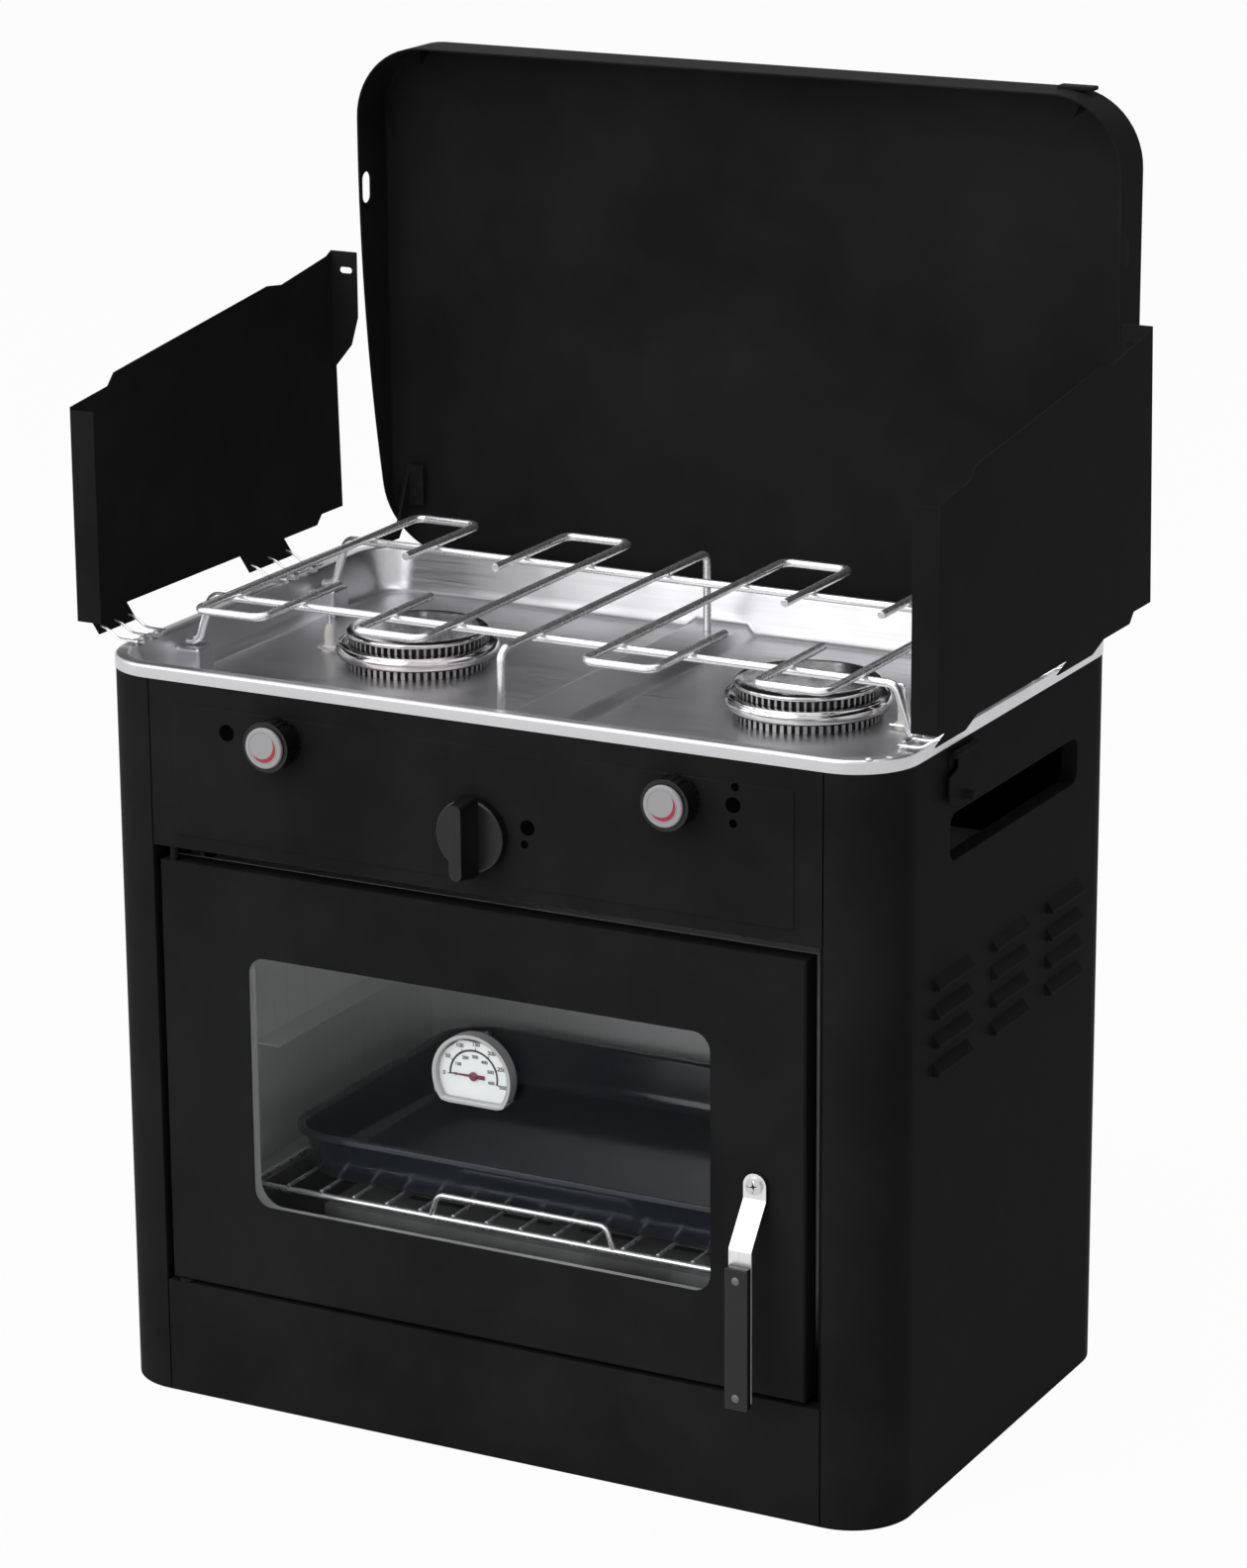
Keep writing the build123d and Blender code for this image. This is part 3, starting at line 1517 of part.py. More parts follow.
for side, word in ((-1, "left"), (1, "right")):
    with BuildPart() as windshield:
        with BuildSketch(abreast(side * shield_inner)):
            with BuildLine():
                Polyline(
                    (from_front(shield_front), shield_low),
                    (from_front(shield_front), shield_front_top),
                    *((from_front(shield_front + run), shield_front_top + rise) for run, rise in shield_steps),
                    (from_front(shield_rear_top_y - shield_corner[0]), shield_rear_top - shield_corner[1]),
                    (from_front(shield_rear_top_y), shield_rear_top),
                    (from_front(shield_rear_low_y), shield_low + shield_notch[2]),
                    (from_front(shield_rear_low_y - shield_notch[0]), shield_low + shield_notch[2]),
                    (from_front(shield_rear_low_y - shield_notch[1]), shield_low),
                    close=True,
                )
            make_face()
            for low, high in (clip_front, clip_rear):
                with Locations((from_front((low + high) / 2), (shield_low + shield_lug_low) / 2 + 1)):
                    Rectangle(high - low + 8, shield_low - shield_lug_low + 2)
        extrude(amount=side * shield_sheet)
        block(
            (side * shield_front_flange, from_front(shield_front), shield_low),
            (side * shield_x, from_front(shield_front + shield_sheet), shield_front_top - 2),
        )
        with BuildSketch(facing(shield_rear_top_y)):
            with BuildLine():
                Polyline(
                    (side * shield_x, shield_rear_top),
                    (side * shield_rear_flange, shield_rear_top),
                    (side * shield_rear_flange, shield_rear_top - shield_tab[0]),
                    (side * (shield_x - shield_tab_lap), shield_rear_top - shield_tab[1]),
                    (side * shield_x, shield_rear_top - shield_tab[2]),
                    close=True,
                )
            make_face()
            with Locations((side * (shield_x - shield_slot[0]), shield_rear_top - shield_slot[1])):
                SlotOverall(*shield_slot_size, mode=Mode.SUBTRACT)
        extrude(amount=shield_sheet)
    finish(windshield.part, f"{word}_windshield")

    with BuildPart() as shield_clips:
        for clip in (clip_front, clip_rear):
            arms, saddles = clip_stations(clip)
            rod(
                (side * shield_axis_x, arms[0], shield_axis_z),
                (side * shield_axis_x, arms[-1], shield_axis_z),
                shield_wire,
            )
            for y in arms:
                wire(
                    (
                        (side * shield_axis_x, y, shield_axis_z),
                        (side * (width / 2 + 3), y, shield_axis_z),
                        (side * (shield_inner - 5), y, shield_lug_low + 4),
                        (side * shield_inner, y, shield_lug_low + 4),
                    ),
                    shield_arm,
                )
    finish(shield_clips.part, f"{word}_windshield_clips")

    with BuildPart() as shield_saddles:
        for clip in (clip_front, clip_rear):
            arms, saddles = clip_stations(clip)
            for y in saddles:
                y_low = y - saddle_width / 2
                y_high = y + saddle_width / 2
                block(
                    (side * (shield_axis_x - saddle_radius), y_low, rim_top),
                    (side * (width / 2 - 2), y_high, rim_top + saddle_foot),
                )
                block(
                    (side * (shield_axis_x - saddle_radius), y_low, rim_top),
                    (side * (shield_axis_x + saddle_radius), y_high, shield_axis_z),
                )
                bar(
                    (side * shield_axis_x, y_low, shield_axis_z),
                    (side * shield_axis_x, y_high, shield_axis_z),
                    saddle_radius,
                    sides=8,
                )
                rod(
                    (side * shield_axis_x, y_low - 1, shield_axis_z),
                    (side * shield_axis_x, y_high + 1, shield_axis_z),
                    shield_wire + running,
                    mode=Mode.SUBTRACT,
                )
    finish(shield_saddles.part, f"{word}_windshield_saddles")
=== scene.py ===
import json
import math

import bmesh
import bpy
from mathutils import Matrix, Vector


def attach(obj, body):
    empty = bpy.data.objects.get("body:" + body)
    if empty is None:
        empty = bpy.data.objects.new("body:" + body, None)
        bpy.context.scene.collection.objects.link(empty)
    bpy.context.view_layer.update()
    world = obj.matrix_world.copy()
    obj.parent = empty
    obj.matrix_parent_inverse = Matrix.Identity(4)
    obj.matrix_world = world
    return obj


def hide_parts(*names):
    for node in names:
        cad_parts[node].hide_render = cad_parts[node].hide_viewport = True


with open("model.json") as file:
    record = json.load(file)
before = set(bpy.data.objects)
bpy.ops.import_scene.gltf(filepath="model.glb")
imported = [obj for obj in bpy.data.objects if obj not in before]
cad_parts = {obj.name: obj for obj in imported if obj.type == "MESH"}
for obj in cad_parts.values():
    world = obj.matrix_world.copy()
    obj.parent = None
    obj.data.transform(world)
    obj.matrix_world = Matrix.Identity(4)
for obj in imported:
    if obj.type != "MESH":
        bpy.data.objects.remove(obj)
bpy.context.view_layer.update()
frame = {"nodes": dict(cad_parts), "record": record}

# A gas camping stove with two hob burners on top of a small oven.
# Metres. +Z is up, +X is to the right seen from the front, -Y is the front.

MM = 0.001
SAME_PLACE = 1e-6
SHARED_CORNER = 2e-6
HALF_DEPTH = 165.0
RIM_TOP = 459.0
FLOOR_TOP = 432.0
WIRE_Z = 486.5
BURNER_X = 131.5
BURNER_Y = 163.0

record = frame["record"]
body_of = {node: body for body, nodes in record["behaviour"]["bodies"].items() for node in nodes}
slot_of = {row["node"]: row["material_slot"] for row in record["subparts"]}


def word_for(side):
    return "left" if side < 0 else "right"


def at(x, from_front, z):
    """A point in metres from millimetres across, behind the front and above the ground."""
    return Vector((x * MM, (from_front - HALF_DEPTH) * MM, z * MM))


class Sheet:
    """A node tree being drawn, with short ways to add and join its nodes."""

    def __init__(self, tree):
        self.tree = tree

    def add(self, kind, **values):
        node = self.tree.nodes.new("ShaderNode" + kind)
        for key, value in values.items():
            setattr(node, key, value)
        return node

    def join(self, source, target):
        self.tree.links.new(source, target)

    def feed(self, target, value):
        if isinstance(value, bpy.types.NodeSocket):
            self.join(value, target)
        else:
            target.default_value = value

    def sum_up(self, operation, first, second=0.0, clamp=False):
        node = self.add("Math", operation=operation, use_clamp=clamp)
        self.feed(node.inputs[0], first)
        self.feed(node.inputs[1], second)
        return node.outputs[0]

    def span(self, value, low, high, to_low=0.0, to_high=1.0):
        node = self.add("MapRange", clamp=True)
        for socket, number in zip(node.inputs, (value, low, high, to_low, to_high)):
            self.feed(socket, number)
        return node.outputs[0]

    def blend(self, share, first, second, how="MIX"):
        node = self.add("Mix", data_type="RGBA", blend_type=how)
        self.feed(node.inputs[0], share)
        self.feed(node.inputs[6], first)
        self.feed(node.inputs[7], second)
        return node.outputs[2]

    def place(self):
        return self.add("TexCoord").outputs["Object"]

    def noise(self, vector, scale, detail=4.0, roughness=0.55):
        node = self.add("TexNoise")
        self.feed(node.inputs["Vector"], vector)
        self.feed(node.inputs["Scale"], scale)
        self.feed(node.inputs["Detail"], detail)
        self.feed(node.inputs["Roughness"], roughness)
        return node.outputs["Fac"]


def node_group(name, takes, gives):
    """An empty shader group with these inputs and outputs, and its own sheet."""
    tree = bpy.data.node_groups.new(name, "ShaderNodeTree")
    for label, kind, value in takes:
        socket = tree.interface.new_socket(label, in_out="INPUT", socket_type="NodeSocket" + kind)
        socket.default_value = value
    for label, kind in gives:
        tree.interface.new_socket(label, in_out="OUTPUT", socket_type="NodeSocket" + kind)
    return Sheet(tree), (tree.nodes.new("NodeGroupInput"), tree.nodes.new("NodeGroupOutput"))


def make_edge_wear():
    """How worn each place is: bright on sharp edges, broken up by noise."""
    sheet, (start, end) = node_group(
        "edge_wear",
        (("Radius", "Float", 0.001), ("Amount", "Float", 1.0), ("Scale", "Float", 60.0)),
        (("Mask", "Float"),),
    )
    place = sheet.place()
    rounded = sheet.add("Bevel", samples=4)
    sheet.join(start.outputs["Radius"], rounded.inputs["Radius"])
    true_face = sheet.add("NewGeometry")
    turn = sheet.add("VectorMath", operation="DOT_PRODUCT")
    sheet.join(rounded.outputs[0], turn.inputs[0])
    sheet.join(true_face.outputs["Normal"], turn.inputs[1])
    edge = sheet.span(turn.outputs["Value"], 0.99, 0.85)
    spots = sheet.span(sheet.noise(place, start.outputs["Scale"], 6.0), 0.42, 0.62)
    broken = sheet.sum_up("MULTIPLY", edge, spots)
    worn = sheet.sum_up("MULTIPLY", broken, start.outputs["Amount"], True)
    sheet.join(worn, end.inputs["Mask"])
    return sheet.tree


def make_grain():
    """Fine lines drawn along one axis, as brushing or rolling leaves them, and their height."""
    sheet, (start, end) = node_group(
        "drawn_grain",
        (("Stretch", "Vector", (20.0, 900.0, 900.0)), ("Fineness", "Float", 1.0)),
        (("Lines", "Float"), ("Height", "Float")),
    )
    place = sheet.place()
    scaled = sheet.add("VectorMath", operation="MULTIPLY")
    sheet.join(place, scaled.inputs[0])
    sheet.join(start.outputs["Stretch"], scaled.inputs[1])
    lines = sheet.noise(scaled.outputs[0], start.outputs["Fineness"], 5.0, 0.7)
    broad = sheet.noise(place, 14.0, 3.0)
    sheet.join(sheet.span(sheet.sum_up("ADD", lines, sheet.sum_up("MULTIPLY", broad, 0.5)), 0.45, 1.05),
               end.inputs["Lines"])
    sheet.join(lines, end.inputs["Height"])
    return sheet.tree


def make_coat_texture():
    """The small roundness of a sprayed coat: its height, and a slow change of gloss."""
    sheet, (start, end) = node_group(
        "sprayed_coat",
        (("Scale", "Float", 900.0), ("Patches", "Float", 9.0)),
        (("Height", "Float"), ("Gloss", "Float")),
    )
    place = sheet.place()
    cells = sheet.add("TexVoronoi", feature="SMOOTH_F1")
    sheet.join(place, cells.inputs["Vector"])
    sheet.join(start.outputs["Scale"], cells.inputs["Scale"])
    fine = sheet.noise(place, sheet.sum_up("MULTIPLY", start.outputs["Scale"], 1.7), 2.0)
    sheet.join(sheet.sum_up("ADD", sheet.sum_up("MULTIPLY", cells.outputs["Distance"], 0.7), fine),
               end.inputs["Height"])
    sheet.join(sheet.noise(place, start.outputs["Patches"], 5.0, 0.6), end.inputs["Gloss"])
    return sheet.tree


def make_dust():
    """Settled dust and handling marks: more on faces that look up, in soft patches."""
    sheet, (start, end) = node_group(
        "settled_dust",
        (("Amount", "Float", 0.3), ("Scale", "Float", 18.0)),
        (("Mask", "Float"),),
    )
    place = sheet.place()
    facing = sheet.add("SeparateXYZ")
    sheet.join(sheet.add("NewGeometry").outputs["Normal"], facing.inputs[0])
    upward = sheet.span(facing.outputs["Z"], 0.2, 1.0, 0.15, 1.0)
    patches = sheet.span(sheet.noise(place, start.outputs["Scale"], 7.0, 0.65), 0.4, 0.75)
    settled = sheet.sum_up("MULTIPLY", upward, patches)
    mask = sheet.sum_up("MULTIPLY", settled, start.outputs["Amount"], True)
    sheet.join(mask, end.inputs["Mask"])
    return sheet.tree


edge_wear = make_edge_wear()
drawn_grain = make_grain()
sprayed_coat = make_coat_texture()
settled_dust = make_dust()


def new_material(name):
    """An empty material with its shader and output, and its own sheet."""
    material = bpy.data.materials.new(name)
    material.use_nodes = True
    sheet = Sheet(material.node_tree)
    shader = material.node_tree.nodes["Principled BSDF"]
    return material, sheet, shader


def use_group(sheet, tree, **values):
    """One of the shared groups placed in a material with its own values."""
    node = sheet.add("Group")
    node.node_tree = tree
    for key, value in values.items():
        node.inputs[key].default_value = value
    return node


def mix_into(sheet, share, first, second, target):
    """Mixes two shaders by a share into the target socket."""
    mix = sheet.add("MixShader")
    sheet.join(share, mix.inputs[0])
    sheet.join(first.outputs[0], mix.inputs[1])
    sheet.join(second.outputs[0], mix.inputs[2])
    sheet.join(mix.outputs[0], target)


def bumped(sheet, shader, height, strength, distance):
    """Joins a height to the shader's normal."""
    bump = sheet.add("Bump")
    bump.inputs["Strength"].default_value = strength
    bump.inputs["Distance"].default_value = distance
    sheet.join(height, bump.inputs["Height"])
    sheet.join(bump.outputs[0], shader.inputs["Normal"])


def grey(value):
    return (value, value, value, 1.0)


def paint_finish(name, colour, rough_low, rough_high, coat_scale=900.0, wear=0.5, dust=0.25, shine=0.25):
    """Sprayed or moulded dark finish: fine texture, patchy gloss, worn edges and a little dust."""
    material, sheet, shader = new_material(name)
    shader.inputs["Specular IOR Level"].default_value = shine
    coat = use_group(sheet, sprayed_coat, Scale=coat_scale)
    worn = use_group(sheet, edge_wear, Radius=0.0008, Amount=wear)
    dusty = use_group(sheet, settled_dust, Amount=dust)
    lighter = tuple(c * 1.5 + 0.001 for c in colour[:3]) + (1.0,)
    base = sheet.blend(sheet.span(coat.outputs["Gloss"], 0.35, 0.7), colour, lighter)
    base = sheet.blend(worn.outputs["Mask"], base, grey(0.05))
    base = sheet.blend(dusty.outputs["Mask"], base, (0.05, 0.048, 0.044, 1.0))
    sheet.join(base, shader.inputs["Base Color"])
    rough = sheet.span(coat.outputs["Gloss"], 0.3, 0.7, rough_low, rough_high)
    rough = sheet.sum_up("ADD", rough, sheet.sum_up("MULTIPLY", dusty.outputs["Mask"], 0.25), True)
    sheet.join(rough, shader.inputs["Roughness"])
    bumped(sheet, shader, coat.outputs["Height"], 0.12, 0.0002)
    return material


def metal_finish(name, colour, rough_low, rough_high, stretch, grain=0.25, tint=None, dust=0.15,
                 metallic=1.0, depth=0.72):
    """Bare metal with drawn lines, smudged gloss and, where asked, a heat tint in patches."""
    material, sheet, shader = new_material(name)
    lines = use_group(sheet, drawn_grain, Stretch=stretch)
    dusty = use_group(sheet, settled_dust, Amount=dust, Scale=9.0)
    darker = tuple(c * depth for c in colour[:3]) + (1.0,)
    base = sheet.blend(lines.outputs["Lines"], darker, colour)
    if tint:
        place = sheet.place()
        patches = sheet.span(sheet.noise(place, 7.0, 4.0), 0.5, 0.75, 0.0, 0.55)
        base = sheet.blend(patches, base, tint)
    base = sheet.blend(dusty.outputs["Mask"], base, tuple(c * 0.55 for c in colour[:3]) + (1.0,))
    sheet.join(base, shader.inputs["Base Color"])
    shader.inputs["Metallic"].default_value = metallic
    rough = sheet.span(lines.outputs["Lines"], 0.2, 0.8, rough_high, rough_low)
    rough = sheet.sum_up("ADD", rough, sheet.sum_up("MULTIPLY", dusty.outputs["Mask"], 0.35), True)
    sheet.join(rough, shader.inputs["Roughness"])
    bumped(sheet, shader, lines.outputs["Height"], grain, 0.0001)
    return material


ALONG_X = (12.0, 700.0, 700.0)
ALONG_Y = (700.0, 12.0, 700.0)
ALONG_Z = (700.0, 700.0, 12.0)
EVEN = (160.0, 160.0, 160.0)

black_paint = paint_finish("black_paint", (0.0145, 0.0145, 0.0149, 1.0), 0.45, 0.58,
                           coat_scale=700.0, wear=0.25, dust=0.06, shine=0.005)
black_plastic = paint_finish("black_plastic", grey(0.004), 0.26, 0.36,
                             coat_scale=1600.0, wear=0.1, dust=0.06, shine=0.35)
mark_black = paint_finish("mark_black", grey(0.0012), 0.5, 0.6,
                          coat_scale=1600.0, wear=0.0, dust=0.0, shine=0.0)
enamel = paint_finish("enamel", (0.006, 0.009, 0.015, 1.0), 0.1, 0.2,
                      coat_scale=260.0, wear=0.4, dust=0.05, shine=0.5)
gasket = paint_finish("gasket", grey(0.012), 0.7, 0.85, coat_scale=1200.0, wear=0.0, dust=0.1)
tray_steel = metal_finish("tray_steel", (0.62, 0.615, 0.635, 1.0), 0.28, 0.42, ALONG_X, 0.1,
                          dust=0.08, metallic=0.95, depth=0.86)
satin_case = metal_finish("satin_case", grey(0.48), 0.36, 0.5, EVEN, 0.1,
                          dust=0.1, metallic=0.7, depth=0.9)
# Near-black metal laid in recesses: painted shade in the burners' ports and below the tray, and at the
# bottom of the screw's cross
painted_recess_shade = metal_finish("painted_recess_shade", grey(0.05), 0.5, 0.65, EVEN, 0.2, dust=0.1, metallic=0.4)
bright_strip = metal_finish("bright_strip", grey(0.85), 0.26, 0.38, ALONG_Z, 0.12)
dull_rivet = metal_finish("dull_rivet", grey(0.16), 0.4, 0.55, EVEN, 0.1)
cast_burner = metal_finish("cast_burner", grey(0.5), 0.34, 0.48, EVEN, 0.25,
                           tint=(0.3, 0.26, 0.24, 1.0))
polished_steel = metal_finish("polished_steel", (0.74, 0.73, 0.74, 1.0), 0.1, 0.2, EVEN, 0.08,
                              tint=(0.6, 0.52, 0.55, 1.0), dust=0.05)
burner_steel = metal_finish("burner_steel", grey(0.62), 0.28, 0.42, EVEN, 0.25,
                            tint=(0.35, 0.3, 0.26, 1.0))
liner_steel = metal_finish("liner_steel", grey(0.84), 0.34, 0.5, ALONG_Z, 0.1,
                           tint=(0.6, 0.57, 0.5, 1.0), metallic=0.55, depth=0.9)
plated_wire = metal_finish("plated_wire", (0.9, 0.9, 0.91, 1.0), 0.2, 0.32, EVEN, 0.05,
                           dust=0.05, metallic=0.85, depth=0.9)
brass = metal_finish("brass", (0.72, 0.53, 0.26, 1.0), 0.22, 0.4, ALONG_Y, 0.2)
aluminium = metal_finish("aluminium", (0.62, 0.62, 0.63, 1.0), 0.3, 0.45, ALONG_Y, 0.15)


def glazed(name, colour, rough_low, rough_high, fleck):
    """Smooth glazed or moulded finish with faint flecks."""
    material, sheet, shader = new_material(name)
    place = sheet.place()
    flecks = sheet.span(sheet.noise(place, 900.0, 3.0), 0.62, 0.72, 0.0, 0.5)
    clouds = sheet.noise(place, 60.0, 3.0)
    base = sheet.blend(flecks, colour, fleck)
    sheet.join(base, shader.inputs["Base Color"])
    sheet.join(sheet.span(clouds, 0.3, 0.7, rough_low, rough_high), shader.inputs["Roughness"])
    bumped(sheet, shader, clouds, 0.04, 0.0002)
    return material


ceramic = glazed("ceramic", (0.8, 0.79, 0.75, 1.0), 0.18, 0.3, (0.55, 0.5, 0.42, 1.0))
dial_white = glazed("dial_white", grey(0.66), 0.3, 0.42, grey(0.6))
cap_white = glazed("cap_white", (0.4, 0.4, 0.41, 1.0), 0.25, 0.36, grey(0.5))
red_plastic = glazed("red_plastic", (0.42, 0.02, 0.05, 1.0), 0.3, 0.42, (0.3, 0.01, 0.03, 1.0))
needle_red = glazed("needle_red", (0.14, 0.014, 0.036, 1.0), 0.35, 0.45, (0.1, 0.01, 0.025, 1.0))
dark_print = glazed("dark_print", grey(0.02), 0.4, 0.55, grey(0.03))


def clear_glass():
    """Clear glass: plain body, with faint wiped smears in its gloss."""
    material, sheet, shader = new_material("window_glass")
    place = sheet.place()
    smears = sheet.span(sheet.noise(place, 22.0, 6.0, 0.7), 0.45, 0.8, 0.0, 0.03)
    sheet.join(smears, shader.inputs["Roughness"])
    shader.inputs["Base Color"].default_value = (0.93, 0.95, 0.95, 1.0)
    shader.inputs["Metallic"].default_value = 0.0
    shader.inputs["Transmission Weight"].default_value = 1.0
    shader.inputs["IOR"].default_value = 1.11
    open_to_light = sheet.add("BsdfTransparent")
    open_to_light.inputs[0].default_value = (0.9, 0.92, 0.92, 1.0)
    mix_into(sheet, sheet.add("LightPath").outputs["Is Shadow Ray"], shader, open_to_light,
             material.node_tree.nodes["Material Output"].inputs[0])
    return material


window_glass = clear_glass()

DARKENING_TOP = 0.15
DARKENING_FULL = 0.11


def darker_below(material, high, low, colour):
    """Darkens a metal below a height in metres, with an uneven edge."""
    sheet = Sheet(material.node_tree)
    shader = material.node_tree.nodes["Principled BSDF"]
    base = shader.inputs["Base Color"].links[0].from_socket
    place = sheet.place()
    parts = sheet.add("SeparateXYZ")
    sheet.join(place, parts.inputs[0])
    wander = sheet.sum_up("MULTIPLY", sheet.noise(place, 16.0, 5.0), 0.03)
    mask = sheet.span(sheet.sum_up("ADD", parts.outputs["Z"], wander), high, low)
    sheet.join(sheet.blend(mask, base, colour), shader.inputs["Base Color"])


darker_below(liner_steel, DARKENING_TOP, DARKENING_FULL, (0.03, 0.025, 0.022, 1.0))

finishes = {
    "black_paint": black_paint, "black_plastic": black_plastic, "enamel": enamel, "gasket": gasket,
    "tray_steel": tray_steel, "burner_steel": burner_steel, "liner_steel": liner_steel,
    "plated_wire": plated_wire, "brass": brass, "aluminium": aluminium, "ceramic": ceramic,
    "dial_white": dial_white, "red_plastic": red_plastic, "window_glass": window_glass,
}

for label, node in frame["nodes"].items():
    node.data.materials.clear()
    node.data.materials.append(black_paint if label == "door_hinge_pins" else finishes[slot_of[label]])


def alone(piece=None):
    """Object mode, nothing selected but the piece given."""
    if bpy.context.object and bpy.context.object.mode != "OBJECT":
        bpy.ops.object.mode_set(mode="OBJECT")
    bpy.ops.object.select_all(action="DESELECT")
    if piece:
        piece.select_set(True)
        bpy.context.view_layer.objects.active = piece


def edit(piece):
    """Edit mode on one piece, with everything selected."""
    alone(piece)
    bpy.ops.object.mode_set(mode="EDIT")
    bpy.ops.mesh.select_mode(type="VERT")
    bpy.ops.mesh.select_all(action="SELECT")


def close_edit():
    bpy.ops.object.mode_set(mode="OBJECT")


def settle(piece, name):
    """Names a piece and puts its place into its mesh."""
    alone(piece)
    bpy.ops.object.transform_apply(location=True, rotation=True, scale=True)
    piece.name = name
    piece.data.name = name
    return piece


def pick(piece, kind, test):
    """In edit mode, selects only the faces, edges or vertices that the test agrees to."""
    bpy.ops.mesh.select_mode(type={"faces": "FACE", "edges": "EDGE", "verts": "VERT"}[kind])
    bpy.ops.mesh.select_all(action="DESELECT")
    shape = bmesh.from_edit_mesh(piece.data)
    shape.normal_update()
    for item in getattr(shape, kind):
        if test(item):
            item.select_set(True)
    shape.select_flush_mode()
    bmesh.update_edit_mesh(piece.data)


def middle(item):
    """The middle of an edge or a face."""
    corners = [v.co for v in item.verts]
    return sum(corners, Vector()) / len(corners)


def move(x=0.0, y=0.0, z=0.0):
    """Moves what is selected, in millimetres."""
    bpy.ops.transform.translate(value=(x * MM, y * MM, z * MM))


def draw_out(x=0.0, y=0.0, z=0.0):
    """Extrudes what is selected, in millimetres."""
    bpy.ops.mesh.extrude_region_move(TRANSFORM_OT_translate={"value": (x * MM, y * MM, z * MM)})


def finish_with(piece, kind, **values):
    """Adds one modifier with its values and applies it."""
    alone(piece)
    modifier = piece.modifiers.new(kind.title(), kind)
    for key, value in values.items():
        setattr(modifier, key, value)
    bpy.ops.object.modifier_apply(modifier=modifier.name)


def smooth(piece, degrees=35.0):
    """Smooth shading that stays crisp at edges above the angle, with broad faces kept flat."""
    alone(piece)
    bpy.ops.object.shade_smooth_by_angle(angle=math.radians(degrees))
    finish_with(piece, "WEIGHTED_NORMAL", keep_sharp=True, weight=80)


def outward(piece):
    """Closes up doubles and turns every face of a closed piece outwards."""
    edit(piece)
    bpy.ops.mesh.remove_doubles(threshold=SAME_PLACE)
    bpy.ops.mesh.normals_make_consistent(inside=False)
    close_edit()


def turn_sheet(piece, direction):
    """Makes an open sheet's faces agree, its largest face looking along the direction."""
    edit(piece)
    bpy.ops.mesh.normals_make_consistent(inside=False)
    shape = bmesh.from_edit_mesh(piece.data)
    largest = max(shape.faces, key=lambda face: face.calc_area())
    if largest.normal.dot(Vector(direction)) < 0:
        bpy.ops.mesh.flip_normals()
    close_edit()


def round_edges(piece, width, segments=2, degrees=35.0):
    """Rounds the sharp edges of a piece, by a width in millimetres."""
    finish_with(piece, "BEVEL", width=width * MM, segments=segments, limit_method="ANGLE",
                angle_limit=math.radians(degrees), use_clamp_overlap=True, miter_outer="MITER_ARC")


def hand_over(piece, body, slot, *nodes, look=None):
    """Gives a finished piece its finish and its body, and lets it stand for its CAD nodes."""
    piece.data.materials.clear()
    piece.data.materials.append(look or finishes[slot])
    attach(piece, body)
    if nodes:
        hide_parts(*nodes)


def all_faces():
    """In edit mode, selects every face."""
    bpy.ops.mesh.select_mode(type="FACE")
    bpy.ops.mesh.select_all(action="SELECT")


def step_in(*steps):
    """In edit mode, insets what is selected by (inward, down) steps in millimetres."""
    for inward, down in steps:
        bpy.ops.mesh.inset(thickness=inward * MM, depth=-down * MM)


def draw_rim(piece, y=0.0, z=0.0):
    """In edit mode, draws a wall out of an open sheet's outer edge."""
    pick(piece, "edges", lambda e: e.is_boundary)
    bpy.ops.mesh.extrude_edges_move(TRANSFORM_OT_translate={"value": (0, y * MM, z * MM)})


def sheet_blank(name, centre, length, depth, corner, segments, lean=0.0):
    """A flat sheet with round corners, left in edit mode with its face selected."""
    alone()
    bpy.ops.mesh.primitive_plane_add(size=1.0, location=centre, rotation=(lean, 0, 0))
    bpy.context.object.scale = (length * MM, depth * MM, 1.0)
    piece = settle(bpy.context.object, name)
    edit(piece)
    bpy.ops.mesh.bevel(offset=corner * MM, segments=segments, affect="VERTICES")
    all_faces()
    return piece


def block(name, low, high):
    """A block between two corners given by at(), as a start for shaping."""
    alone()
    bpy.ops.mesh.primitive_cube_add(size=1.0, location=(low + high) / 2)
    bpy.context.object.scale = [abs(span) for span in high - low]
    return settle(bpy.context.object, name)


def disc(name, centre, radius, thickness, axis="Z", vertices=64):
    """A round plate about its centre, as a start for shaping."""
    alone()
    turn = (0.0, 0.0, 0.0) if axis == "Z" else (math.pi / 2, 0.0, 0.0)
    bpy.ops.mesh.primitive_cylinder_add(vertices=vertices, radius=radius * MM, depth=thickness * MM,
                                        location=centre, rotation=turn)
    return settle(bpy.context.object, name)


def line(name, points):
    """A chain of edges through the points, drawn out from one vertex."""
    alone()
    bpy.ops.mesh.primitive_plane_add(size=MM, location=points[0])
    piece = settle(bpy.context.object, name)
    edit(piece)
    bpy.ops.mesh.merge(type="CENTER")
    for here, there in zip(points, points[1:]):
        draw_out(*((there - here) / MM))
    close_edit()
    return piece


def bend_corners(piece, bend, segments=6):
    """In edit mode, rounds every corner of a chain of edges."""
    pick(piece, "verts", lambda v: len(v.link_edges) == 2)
    bpy.ops.mesh.bevel(offset=bend * MM, segments=segments, affect="VERTICES")


WIRE_END = 0.3


